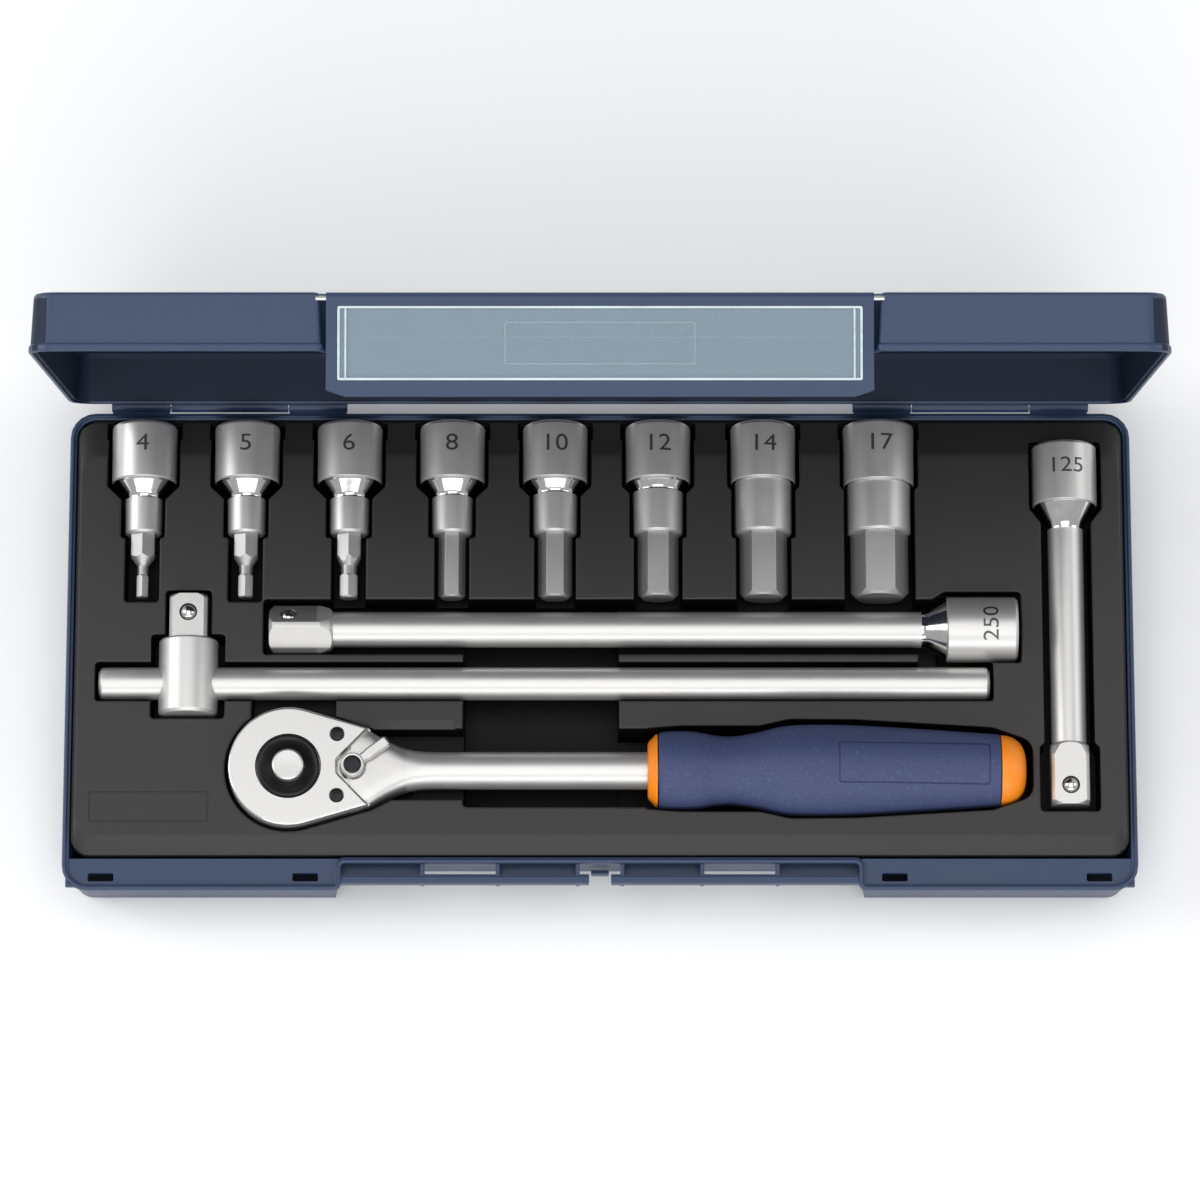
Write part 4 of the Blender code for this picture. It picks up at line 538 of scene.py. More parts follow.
class Finishes:
    """The materials, made once and shared by the pieces."""

    made = {}

    @classmethod
    def get(cls, name):
        if name not in cls.made:
            cls.made[name] = getattr(cls, name)().material
        return cls.made[name]

    @staticmethod
    def case_plastic():
        return moulded("case_plastic", settings("case").shell, 0.42, 2600.0, 0.00002)

    # Painted shade: the shell's own navy made much darker for the lid's inner faces, standing in for the
    # shade inside the opened lid and the dark tray reflected there.
    @staticmethod
    def case_inside():
        dark = tuple(channel * 0.4 for channel in settings("case").shell)
        paint = moulded("case_inside", dark, 0.5, 2600.0, 0.00002)
        paint.set("Specular IOR Level", 0.22)
        return paint

    @staticmethod
    def tray_plastic():
        paint = moulded("tray_plastic", settings("tray").plastic, 0.46, 3200.0, 0.00004)
        paint.set("Specular IOR Level", 0.4)
        return paint

    # Painted shade: a much darker copy of the tray's black for the pocket floors, the steep pocket walls and
    # the panel groove, standing in for the shade that falls in these recesses.
    @staticmethod
    def tray_pocket():
        dark = tuple(channel * 0.1 for channel in settings("tray").plastic)
        paint = moulded("tray_pocket", dark, 0.5, 2000.0, 0.00001)
        paint.set("Specular IOR Level", 0.18)
        return paint

    @staticmethod
    def chrome_x():
        return satin_steel("satin_chrome_x", settings("tools").chrome, "X")

    @staticmethod
    def chrome_y():
        return satin_steel("satin_chrome_y", settings("tools").chrome, "Y")

    @staticmethod
    def chrome_flat():
        paint = Paint("satin_chrome_flat", settings("tools").chrome, 0.38, 0.9)
        grit = paint.noise(1600.0, 3.0, 0.7)
        cloudy = paint.noise(70.0, 4.0, 0.6)
        paint.set("Base Color", paint.shade(grit * 0.5 + cloudy * 0.5, 0.8, 1.12))
        paint.set("Roughness", grit * 0.16 + cloudy * 0.12 + 0.26)
        paint.bump(grit, 0.000005)
        return paint

    @staticmethod
    def polished():
        paint = Paint("polished_steel", settings("tools").chrome, 0.1, 1.0)
        smear = paint.noise(260.0, 3.0)
        paint.set("Roughness", smear * 0.14 + 0.05)
        paint.set("Base Color", paint.shade(smear, 0.88, 1.08))
        return paint

    @staticmethod
    def bit_steel():
        return satin_steel("bit_steel", settings("tools").bit, "Y", 0.42, 1500.0, 0.00001)

    @staticmethod
    def black_oxide():
        paint = Paint("black_oxide", settings("tools").black, 0.32, 0.7)
        grit = paint.noise(1800.0, 2.0)
        paint.set("Roughness", grit * 0.2 + 0.22)
        paint.bump(grit, 0.000006)
        return paint

    @staticmethod
    def engraving():
        paint = Paint("engraved_figures", srgb(96, 95, 94), 0.5, 1.0)
        paint.set("Roughness", paint.noise(900.0) * 0.3 + 0.35)
        return paint

    @staticmethod
    def grip_rubber():
        paint = Paint("grip_rubber", settings("grip").rubber, 0.62)
        fine = paint.noise(1500.0, 3.0, 0.7)
        flecks = paint.flecks(1300.0, 0.62, 0.72) * settings("grip").fleck
        pale = (*[channel * 2.2 for channel in settings("grip").rubber], 1.0)
        paint.set("Base Color", paint.mix(flecks, paint.shade(fine, 0.84, 1.14), pale))
        paint.set("Roughness", fine * 0.2 + 0.5)
        paint.bump(fine, 0.00003)
        return paint

    @staticmethod
    def orange_plastic():
        return moulded("orange_plastic", settings("grip").orange, 0.36, 1400.0, 0.000012)

    @staticmethod
    def label_card():
        return moulded("label_card", settings("case").card, 0.6, 900.0, 0.00002)

    @staticmethod
    def window():
        paint = Paint("clear_window", srgb(225, 238, 244), 0.08)
        haze = paint.noise(700.0, 3.0)
        paint.set("Roughness", haze * 0.1 + 0.05)
        paint.set("Alpha", 0.1)
        paint.bump(haze, 0.000006)
        return paint

    @staticmethod
    def window_rim():
        paint = Paint("clear_window_rim", srgb(214, 232, 240), 0.12)
        haze = paint.noise(420.0, 2.0, 0.5, (0.15, 1, 1))
        paint.set("Base Color", paint.shade(haze, 0.75, 1.2))
        paint.set("Roughness", haze * 0.14 + 0.06)
        paint.set("Alpha", 0.8)
        return paint

    @staticmethod
    def floor():
        paint = Paint("pale_floor", settings("stage").floor, 0.7)
        paint.set("Roughness", paint.noise(3.0) * 0.2 + 0.6)
        return paint


# ------------------------------------------------------------------ case


def shell_outline(recess_depth):
    """The case seen from above: a rounded rectangle with the latch recess in its front."""
    case = settings("case")
    back = FRONT + recess_depth
    return rounded(
        [
            (-HALF_LENGTH, FRONT, case.corner),
            (-RECESS_HALF, FRONT, 2.6 * MM),
            (-RECESS_HALF, back, 1.2 * MM),
            (RECESS_HALF, back, 1.2 * MM),
            (RECESS_HALF, FRONT, 2.6 * MM),
            (HALF_LENGTH, FRONT, case.corner),
            (HALF_LENGTH, BACK, case.corner),
            (-HALF_LENGTH, BACK, case.corner),
        ]
    )


def base_body():
    """The bottom shell: up its outside over the rim, then down its inside to the floor."""
    case = settings("case")
    wall = case.wall
    draft = 3.0 * MM
    bead_foot = RIM - case.bead
    outer = [
        (draft + 1.6 * MM, 0.0),
        (draft + 0.5 * MM, 0.5 * MM),
        (draft, 1.8 * MM),
        (0.7 * MM, bead_foot - 0.4 * MM),
        (0.2 * MM, bead_foot),
        (0.0, bead_foot + 0.3 * MM),
        (0.0, RIM - 0.6 * MM),
        (0.2 * MM, RIM - 0.2 * MM),
        (0.6 * MM, RIM),
    ]
    lip = wall * 0.62
    inner = [
        (lip - 0.25 * MM, RIM),
        (lip, RIM - 0.25 * MM),
        (lip + 0.1 * MM, RIM - 0.8 * MM),
        (wall, RIM - 1.0 * MM),
        (wall + draft, 3.6 * MM),
        (wall + draft + 1.2 * MM, 2.0 * MM),
    ]
    return stack("case_bottom", shell_outline(9.05 * MM), outer + inner)


def front_shelf(side):
    """The ledge beside the latch recess, with its two slots."""
    top = RIM - 1.5 * MM
    left, right = sorted((side * (RECESS_HALF + 1.0 * MM), side * (HALF_LENGTH - 1.2 * MM)))
    low, high = (left, FRONT + 1.4 * MM, top - 2.0 * MM), (right, FRONT + 11.0 * MM, top)
    ledge = block("ledge", low, high, 0.25 * MM)
    half_long, half_wide = 4.2 * MM, 1.3 * MM
    near = FRONT + 4.6 * MM
    levels = [(0, top - 4 * MM), (0, top - 0.3 * MM)]
    levels += [(-0.1 * MM, top - 0.1 * MM), (-0.3 * MM, top + 0.5 * MM)]
    for place in (98.6 * MM, 167.0 * MM):
        x = side * place
        outline = rectangle(x - half_long, x + half_long, near - half_wide, near + half_wide, 0.5 * MM, 3)
        carve(ledge, stack("slot", outline, levels))
    return ledge


def keeper(side):
    """One half of the keeper bar, its ribs and its cell floors."""
    top = RIM - 1.0 * MM
    front = FRONT + 2.45 * MM
    behind = FRONT + 10.0 * MM
    recess_end = RECESS_HALF + 1.0 * MM
    ribs = (7.5 * MM, 34.2 * MM, 59.5 * MM)
    left, right = sorted((side * 3.7 * MM, side * recess_end))
    low, high = (left, front + 2.2 * MM, top - 3.6 * MM), (right, front + 3.3 * MM, top - 0.8 * MM)
    shapes = [
        block("bar", (left, front, top - 4 * MM), (right, front + 2.6 * MM, top), 0.45 * MM, 3),
        block("bar_step", low, high, 0.2 * MM),
    ]
    for place in ribs:
        low = (side * place - 0.7 * MM, front + 0.3 * MM, top - 7 * MM)
        high = (side * place + 0.7 * MM, behind, top - 0.3 * MM)
        shapes.append(block("rib", low, high, 0.3 * MM))
    for near, far in (ribs[:2], (ribs[2], recess_end)):
        left, right = sorted((side * near, side * far))
        low, high = (left, front + 1.0 * MM, top - 6.7 * MM), (right, behind, top - 5.2 * MM)
        shapes.append(block("cell", low, high, 0.1 * MM))
    return shapes


def knuckles(name, lower):
    """Hinge barrels with their webs: the outer ones on the base, the middle one on the lid."""
    radius, bore_radius = 2.2 * MM, 1.15 * MM
    if lower:
        spans, bottom, top = ((0.0, 19.8), (60.2, 80.0)), RIM - 2 * MM, RIM - 0.3 * MM
    else:
        spans, bottom, top = ((20.2, 59.8),), LID_BOTTOM + 0.3 * MM, LID_BOTTOM + 2 * MM
    shapes = []
    for side in (-1, 1):
        start = side * 126 * MM - 40 * MM
        for near, far in spans:
            left, right = start + near * MM, start + far * MM
            place = Matrix.Translation((left, HINGE.y, HINGE.z)) @ QUARTER_Y
            barrel = lathe(name, [(0, radius), (right - left, radius)], place, 32)
            low, high = (left + 0.3 * MM, BACK - 1 * MM, bottom), (right - 0.3 * MM, HINGE.y, top)
            web = block(f"{name}_web", low, high)
            reach = right - left + 1 * MM
            bore = lathe(f"{name}_bore", [(-1 * MM, bore_radius), (reach, bore_radius)], place, 24)
            unite(barrel, web)
            shapes.append(carve(barrel, bore))
    return shapes


class BottomShellOperator(bpy.types.Operator):
    """Add the case's bottom shell with its rim, ledges, keeper bars and hinge knuckles"""

    bl_idname = "socket_set.bottom_shell"
    bl_label = "Bottom Shell"

    def execute(self, context):
        parts = [base_body()]
        for side in (-1, 1):
            parts.append(front_shelf(side))
            parts += keeper(side)
        parts += knuckles("base_knuckle", True)
        low, high = (-3 * MM, FRONT + 8.2 * MM, 12 * MM), (3 * MM, FRONT + 9.6 * MM, 16 * MM)
        parts.append(block("wall_tab", low, high, 0.3 * MM))
        piece = gather("case_bottom_shell", *parts)
        finish(piece, "case_base", ["bottom_shell"], "case_blue", "case_plastic")
        return {"FINISHED"}


class LidOperator(bpy.types.Operator):
    """Add the lid shell, opened about its hinge"""

    bl_idname = "socket_set.lid"
    bl_label = "Lid"

    def execute(self, context):
        case = settings("case")
        wall = case.wall
        draft = 1.5 * MM
        bead_top = LID_BOTTOM + case.bead
        outer = [
            (draft + 2.2 * MM, LID_TOP),
            (draft + 0.7 * MM, LID_TOP - 0.35 * MM),
            (draft + 0.1 * MM, LID_TOP - 1.1 * MM),
            (draft, LID_TOP - 2.0 * MM),
            (0.6 * MM, bead_top + 0.5 * MM),
            (0.2 * MM, bead_top + 0.1 * MM),
            (0.0, bead_top - 0.3 * MM),
            (0.0, LID_BOTTOM + 0.5 * MM),
            (0.15 * MM, LID_BOTTOM + 0.15 * MM),
            (0.5 * MM, LID_BOTTOM),
        ]
        lip = wall * 0.6
        inner = [
            (lip - 0.2 * MM, LID_BOTTOM),
            (lip, LID_BOTTOM + 0.2 * MM),
            (lip + 0.1 * MM, LID_BOTTOM + 0.9 * MM),
            (wall, LID_BOTTOM + 1.1 * MM),
            (wall + draft, LID_TOP - wall - 1.6 * MM),
            (wall + draft + 1.3 * MM, LID_TOP - wall),
        ]
        body = stack("lid_body", shell_outline(LID_RECESS), outer + inner)
        parts = [body] + knuckles("lid_knuckle", False)
        piece = gather("case_lid", *parts)
        # Faces on the lid's inside are marked here and given the darker inside material as painted shade.
        inside = []
        for face in piece.data.polygons:
            x, y, z = face.center
            front = FRONT + wall * 0.8 + (LID_RECESS if abs(x) < RECESS_HALF + wall else 0)
            within = abs(x) < HALF_LENGTH - wall * 0.8 and front < y < BACK - wall * 0.8
            inside.append(within and LID_BOTTOM + 0.5 * MM < z < LID_TOP - wall * 0.8)
        moved(piece, LID_TURN)
        finish(piece, "lid", ["lid_shell"], "case_blue", "case_plastic", "case_inside")
        for face, is_inside in zip(piece.data.polygons, inside):
            face.material_index = int(is_inside)
        return {"FINISHED"}


FLAP_TOP = 49.0 * MM
FLAP_BOTTOM = 16.0 * MM
FLAP_HALF = 86.0 * MM
BARREL = 1.9 * MM
WINDOW_HALF = FLAP_HALF - 3.4 * MM
WINDOW_BOTTOM = FLAP_BOTTOM + 4.9 * MM
WINDOW_TOP = FLAP_TOP - 4.3 * MM


def upright(name, outline, front, back, edge=0.0):
    """A plate in the XZ plane; the outline's second coordinate is its height."""
    plate = prism(name, outline, -back, -front, edge)
    return moved(plate, QUARTER_X)


def ring_plate(name, half, bottom, top, width, front, back):
    """A flat rectangular frame of an even width."""
    outer = upright(name, rectangle(-half, half, bottom, top, 0.6 * MM, 3), front, back, 0.15 * MM)
    hole = rectangle(-half + width, half - width, bottom + width, top - width, 0.3 * MM, 3)
    return carve(outer, upright(f"{name}_hole", hole, front - 1 * MM, back + 1 * MM))


class LatchFlapOperator(bpy.types.Operator):
    """Add the latch flap with its clear window and label"""

    bl_idname = "socket_set.latch_flap"
    bl_label = "Latch Flap"

    def execute(self, context):
        chamfer = 6.0 * MM
        outline = rounded(
            [
                (-FLAP_HALF, FLAP_BOTTOM + 2 * MM, 0.6 * MM),
                (-FLAP_HALF + chamfer, FLAP_BOTTOM, 0.6 * MM),
                (FLAP_HALF - chamfer, FLAP_BOTTOM, 0.6 * MM),
                (FLAP_HALF, FLAP_BOTTOM + 2 * MM, 0.6 * MM),
                (FLAP_HALF, FLAP_TOP - BARREL, 0),
                (-FLAP_HALF, FLAP_TOP - BARREL, 0),
            ],
            3,
        )
        plate = upright("latch_flap_body", outline, FRONT, FRONT + 2 * MM, 0.3 * MM)
        barrel = lathe(
            "flap_barrel", [(-FLAP_HALF, BARREL), (FLAP_HALF, BARREL)],
            Matrix.Translation((0, FRONT + BARREL, FLAP_TOP - BARREL)) @ QUARTER_Y, 40,
        )
        unite(plate, barrel)
        slope = block("slope", (-FLAP_HALF - 1 * MM, -4 * MM, -6 * MM), (FLAP_HALF + 1 * MM, 0, 0))
        slope_place = Matrix.Translation((0, FRONT, WINDOW_BOTTOM - 1.1 * MM))
        moved(slope, slope_place @ Matrix.Rotation(math.radians(16), 4, "X"))
        rebate = rectangle(-WINDOW_HALF, WINDOW_HALF, WINDOW_BOTTOM, WINDOW_TOP, 0.5 * MM, 3)
        sight = inset(rebate, 2 * MM)
        carve(
            plate, slope, upright("rebate", rebate, FRONT - 1 * MM, FRONT + 1.25 * MM),
            upright("sight", sight, FRONT - 2 * MM, FRONT + 9 * MM),
        )
        moved(plate, LID_TURN)
        finish(plate, "latch_flap", ["latch_flap"], "case_blue", "case_plastic")
        self.add_window()
        self.add_card()
        return {"FINISHED"}

    def add_window(self):
        half = WINDOW_HALF - 0.15 * MM
        low, high = WINDOW_BOTTOM + 0.15 * MM, WINDOW_TOP - 0.15 * MM
        front, back = FRONT + 0.05 * MM, FRONT + 0.65 * MM
        inner = inset(rectangle(-half, half, low, high, 0.5 * MM, 3), 0.9 * MM)
        pane = upright("pane", inner, front + 0.25 * MM, back, 0.05 * MM)
        line = low + (high - low) * 0.58
        seam_low = (-half + 4 * MM, front + 0.16 * MM, line - 0.06 * MM)
        seam_high = (half - 4 * MM, front + 0.3 * MM, line + 0.06 * MM)
        seam = block("seam", seam_low, seam_high)
        depths = (front + 0.1 * MM, front + 0.3 * MM)
        panel = ring_plate("panel", 30 * MM, low + 5 * MM, high - 5 * MM, 0.4 * MM, *depths)
        clear = gather("flap_window", pane, seam, panel)
        moved(clear, LID_TURN)
        finish(clear, "latch_flap", ["label_window"], "clear_window", "window")
        parts = [ring_plate("window_ring", half, low, high, 0.8 * MM, front, back)]
        for side in (-1, 1):
            x = side * (half - 2.6 * MM)
            bar_low = (x - 0.3 * MM, front, low + 0.8 * MM)
            parts.append(block("bar", bar_low, (x + 0.3 * MM, back, high - 0.8 * MM), 0.1 * MM))
        ring = gather("flap_window_rim", *parts)
        moved(ring, LID_TURN)
        finish(ring, "latch_flap", [], "clear_window", "window_rim")

    def add_card(self):
        half = WINDOW_HALF - 0.45 * MM
        low, high = WINDOW_BOTTOM + 0.45 * MM, WINDOW_TOP - 0.45 * MM
        outline = rectangle(-half, half, low, high, 0.4 * MM, 3)
        card = upright("flap_label_card", outline, FRONT + 0.8 * MM, FRONT + 1.1 * MM)
        moved(card, LID_TURN)
        finish(card, "latch_flap", ["label_card"], "label_card", "label_card")


# ------------------------------------------------------------------ tray

PLATEAU = 34.0 * MM
DEEPER = -8 * MM
# Tray faces deeper than PIT_DEPTH below the plateau, or with an upward normal below STEEP, get the painted
# shade of the pockets.
PIT_DEPTH = 3.0 * MM
STEEP = 0.35
TRAY_LOW, TRAY_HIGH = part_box("tool_tray")
SOCKET_BACK = 77.6 * MM
SHOULDER_SLOPE = {4: 5.0, 5: 5.0, 6: 5.0, 8: 4.6, 10: 3.6, 12: 2.8}
SOCKET_NECK = {4: 6.2, 5: 6.4, 6: 6.6, 8: 6.8, 10: 7.4, 12: 8.4, 14: 9.6, 17: 10.7}
ROD_LOW, ROD_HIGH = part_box("t_handle_rod")
SLIDER_LOW, SLIDER_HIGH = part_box("t_handle_head")
LONG_LOW, LONG_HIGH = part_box("extension_250_bar")
SHORT_LOW, SHORT_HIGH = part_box("extension_125_bar")
HEAD_CENTRE = Vector(JOINTS["drive_spin"]["pos_m"])
RATCHET_LINE = HEAD_CENTRE.y
TURNED_RADIUS = 8.2 * MM
SHANK_RADIUS = 5.9 * MM
BAR_HEAD = 11 * MM
ROD_RADIUS = 5.5 * MM


def middle(low, high):
    return (low + high) / 2


def corner_radius(flats):
    """From a hexagon's centre to its corner."""
    return flats / 2 / math.cos(math.radians(30))


def socket_place(size):
    low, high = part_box(f"socket_{size:02d}")
    return middle(low, high).x, (high.x - low.x) / 2


def pocket(name, corners, bottom, shift=0.0):
    """A cutter for one pocket: drafted walls that flare into a rounded upper edge.

    The shift keeps the flares of pockets that run together at slightly different heights.
    """
    edge = settings("tray").edge
    top = PLATEAU + shift
    outline = rounded(corners, 3)
    levels = [(0.5 * MM, bottom), (0.3 * MM, bottom + 0.15 * MM), (0.15 * MM, bottom + 0.5 * MM)]
    levels.append((0.0, top - edge))
    for step in (1, 2, 3):
        angle = math.pi / 2 * step / 3
        levels.append((-edge * (1 - math.cos(angle)), top - edge * (1 - math.sin(angle))))
    levels.append((-edge, top + 6 * MM))
    return stack(name, outline, levels)


def along_y(centre, back, stations):
    """Corners round a tool that lies along Y: (distance from its back end, half width, rounding)."""
    right = [(centre + half, back - along, radius) for along, half, radius in reversed(stations)]
    left = [(centre - half, back - along, radius) for along, half, radius in stations]
    return right + left


def along_x(line, start, stations):
    """Corners round a tool that lies along X: (distance to the right of its start, half width, rounding)."""
    lower = [(start + along, line - half, radius) for along, half, radius in stations]
    upper = [(start + along, line + half, radius) for along, half, radius in reversed(stations)]
    return lower + upper


def socket_pockets():
    gap = settings("tray").clearance
    shoulder = 21.6 * MM
    cutters = []
    for size in SIZES:
        centre, radius = socket_place(size)
        neck = SOCKET_NECK[size] * MM + gap
        head = radius + gap
        bit = corner_radius(max(size, 8) * MM) + gap
        slant = max(head - neck, 0.8 * MM)
        stations = [
            (-gap, head, 1.0 * MM), (shoulder, head, 1.2 * MM), (shoulder + slant, neck, 1.0 * MM),
            (39.4 * MM, neck, 0.8 * MM), (39.8 * MM, bit, 0.85 * MM), (62.0 * MM, bit, 1.2 * MM),
        ]
        if neck - bit < 1.2 * MM:
            stations = [*stations[:3], (62.0 * MM, neck, 1.2 * MM)]
        cutters.append(pocket("socket_pocket", along_y(centre, SOCKET_BACK, stations), AXIS_HEIGHT - neck))
        deep = [(-gap, head - 0.1 * MM, 0.9 * MM), (shoulder + slant / 2, head - 0.1 * MM, 0.9 * MM)]
        outline = along_y(centre, SOCKET_BACK, deep)
        cutters.append(pocket("socket_deep", outline, AXIS_HEIGHT - head, DEEPER))
    return cutters


def bar_pockets():
    gap = settings("tray").clearance
    head = BAR_HEAD + gap
    square = TURNED_RADIUS + gap
    wide, shaft = square + 0.6 * MM, 8.4 * MM
    short = [
        (-gap, head, 1.2 * MM), (22.4 * MM, head, 1.5 * MM), (27.4 * MM, shaft, 1.5 * MM),
        (103.6 * MM, shaft, 1.0 * MM), (105.2 * MM, wide, 1.0 * MM), (127.0 * MM, wide, 1.4 * MM),
    ]
    short_deep = [(-gap, head - 0.1 * MM, 1 * MM), (25.0 * MM, head - 0.1 * MM, 1 * MM)]
    centre = middle(SHORT_LOW, SHORT_HIGH).x
    line = middle(LONG_LOW, LONG_HIGH).y
    start = LONG_LOW.x - 2 * MM
    end = LONG_HIGH.x - LONG_LOW.x + 2 * MM
    long = [
        (0, square, 1.2 * MM), (end - 29 * MM, square, 1.5 * MM), (end - 24.6 * MM, head, 1.5 * MM),
        (end + gap, head, 1.2 * MM),
    ]
    long_deep = [(end - 27 * MM, head - 0.1 * MM, 1 * MM), (end + gap, head - 0.1 * MM, 1 * MM)]
    return [
        pocket("short_pocket", along_y(centre, SHORT_HIGH.y, short), AXIS_HEIGHT - square),
        pocket("short_deep", along_y(centre, SHORT_HIGH.y, short_deep), AXIS_HEIGHT - head, DEEPER),
        pocket("long_pocket", along_x(line, start, long), AXIS_HEIGHT - square),
        pocket("long_deep", along_x(line, start, long_deep), AXIS_HEIGHT - head, DEEPER),
    ]


def box_pocket(name, left, right, front, back, bottom, radius=1.2 * MM, shift=0.0):
    corners = [(left, front, radius), (right, front, radius), (right, back, radius), (left, back, radius)]
    return pocket(name, corners, bottom, shift)


def slider_pockets():
    gap = settings("tray").clearance
    line = middle(ROD_LOW, ROD_HIGH).y
    rod = ROD_RADIUS + gap
    centre = middle(SLIDER_LOW, SLIDER_HIGH).x
    rod_bottom = AXIS_HEIGHT - rod + gap - 0.3 * MM
    wide, narrow = 12.4 * MM, 7.7 * MM
    head = (centre - wide, centre + wide, SLIDER_LOW.y - gap, 4.2 * MM, AXIS_HEIGHT - 10.3 * MM)
    return [
        box_pocket("rod_pocket", ROD_LOW.x - gap, ROD_HIGH.x + gap, line - rod, line + rod, rod_bottom),
        box_pocket("slider_pocket", *head),
        box_pocket("slider_square_pocket", centre - narrow, centre + narrow, 3 * MM, 19.4 * MM, 23.2 * MM),
    ]


GRIP_STATIONS = (
    (0.0, 12.6), (2.0, 13.2), (12.0, 13.2), (19.0, 11.9), (25.0, 11.6), (33.0, 12.9),
    (42.0, 15.0), (52.0, 15.5), (66.0, 15.3), (92.0, 13.8), (113.6, 12.3),
)
GRIP_LOW, GRIP_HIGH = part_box("grip")


def ratchet_pockets():
    gap = settings("tray").clearance
    head = [(point.x, point.y, 0) for point in inset(head_outline(), -gap)]
    widths = (
        (-4.4, 12.6, 1), (8, 13.4, 8), (34, 13.4, 10), (44, 15.7, 10), (66, 15.5, 20), (112, 12.8, 6),
    )
    grip = [(along * MM, half * MM + gap, radius * MM) for along, half, radius in widths]
    grip.append((125.4 * MM, 9.4 * MM, 5 * MM))
    shaft_low = RATCHET_LINE - 10.7 * MM
    collar, = mm((5.0, 24.0, -55.2, -28.3, 14.2, 1, -0.03))
    centre = Matrix.Translation((HEAD_CENTRE.x, HEAD_CENTRE.y, 0))
    return [
        pocket("head_pocket", head, AXIS_HEIGHT - 10.4 * MM, -0.01 * MM),
        pocket("grip_pocket", along_x(RATCHET_LINE, GRIP_LOW.x, grip), AXIS_HEIGHT - 15.8 * MM, 0.02 * MM),
        box_pocket(
            "shaft_pocket", HEAD_CENTRE.x + 26 * MM, -44.6 * MM, shaft_low, -28.3 * MM,
            AXIS_HEIGHT - 6.8 * MM, 1.2 * MM, 0.01 * MM,
        ),
        box_pocket("collar_pocket", *collar),
        lathe("drive_well", mm((4.4, 10.6), (26, 10.6)), centre, 48),
    ]


def open_pockets():
    """The finger gap and the places where neighbouring pockets run together."""
    start = LONG_LOW.x - 2 * MM
    finger, head, cone = mm(
        (-46, 6.3, -55.2, 16.4, 13, 1.6, 0.03), (-117, -88.6, -32, -12, 23, 1.2, -0.04),
        (107, 117, -10, 3, 22.4, 1, -0.05),
    )
    return [
        box_pocket("finger_gap", *finger),
        box_pocket("channel", start, 117 * MM, 0.0, 16.4 * MM, 21.6 * MM, 1.2 * MM, -0.02 * MM),
        box_pocket("head_gap", *head),
        box_pocket("cone_gap", *cone),
    ]


def divider_slope():
    """The sloped side of the divider between the rod and the ratchet's shaft."""
    slope = block("divider_slope", (-88.6 * MM, -6 * MM, -0.2 * MM), (-48.6 * MM, 0, 6 * MM))
    turn = Matrix.Rotation(math.radians(22), 4, "X")
    return moved(slope, Matrix.Translation((0, -25.4 * MM, PLATEAU)) @ turn)


def tray_body():
    """The tray's outside: upright sides, a rounded front bevel and a long ramp at the back."""
    bevel = 5.8 * MM
    corners = [(0.0, 24 * MM, 0), (0.0, 29.5 * MM, 0.8 * MM)]
    corners += [(bevel, PLATEAU, 1.6 * MM), (14 * MM, PLATEAU, 0)]
    rise = rounded(corners, closed=False)
    low, high = TRAY_LOW, TRAY_HIGH
    base = rectangle(low.x + 2.6 * MM, high.x - 2.6 * MM, low.y + 2.6 * MM, high.y - 2.6 * MM, 5.5 * MM)
    rings = [[(*point, low.z) for point in base]]
    for reach, height in rise:
        share = reach / bevel
        side, back = 1.6 * MM * share, 13.0 * MM * share
        outline = rectangle(low.x + side, high.x - side, low.y + reach, high.y - back, 6.3 * MM)
        rings.append([(*point, height) for point in outline])
    return skin("tool_tray_form", rings)


class TrayOperator(bpy.types.Operator):
    """Add the moulded tray with a close-fitting pocket for every tool"""

    bl_idname = "socket_set.tray"
    bl_label = "Tool Tray"

    def execute(self, context):
        tray = tray_body()
        cutters = socket_pockets() + bar_pockets() + slider_pockets() + ratchet_pockets() + open_pockets()
        carve(tray, *cutters, divider_slope())
        panel = rectangle(-171 * MM, -131 * MM, -60.5 * MM, -50 * MM, 0.6 * MM, 3)
        inner = inset(panel, 0.5 * MM)
        groove = stack("panel_groove", panel, [(0, PLATEAU - 0.25 * MM), (-0.2 * MM, PLATEAU + 1 * MM)])
        island = stack("panel_island", inner, [(0, PLATEAU - 1 * MM), (0.2 * MM, PLATEAU + 2 * MM)])
        carve(groove, island)
        carve(tray, groove)
        tray.name = "moulded_tray"
        finish(tray, "case_base", ["tool_tray"], "tray_black", "tray_plastic", "tray_pocket")
        # Painted shade: deep and steep faces inside the tray take the darker pocket material, standing in for
        # the shade in the pockets and the panel groove.
        for face in tray.data.polygons:
            x, y, z = face.center
            inside = abs(x) < TRAY_HIGH.x - 2.2 * MM and TRAY_LOW.y + 1.5 * MM < y < TRAY_HIGH.y - 0.5 * MM
            if inside and (z < PLATEAU - PIT_DEPTH or face.normal.z < STEEP):
                face.material_index = 1
        return {"FINISHED"}


# ------------------------------------------------------------------ sockets and bars


def lying_y(x, back):
    """A frame whose Z axis runs from a tool's drive end towards the case's front."""
    return Matrix.Translation((x, back, AXIS_HEIGHT)) @ QUARTER_X


def drive_hole(place, turn=0.0):
    """The square hole of a half-inch drive, with a lead-in at its mouth."""
    half = 6.5 * MM
    outline = rectangle(-half, half, -half, half, 0.5 * MM, 2)
    hole = stack("drive_hole", outline, mm((-0.9, -0.5), (-0.4, 0), (0, 0.9), (0, 15.5)))
    return moved(hole, place @ Matrix.Rotation(turn, 4, "Z"))


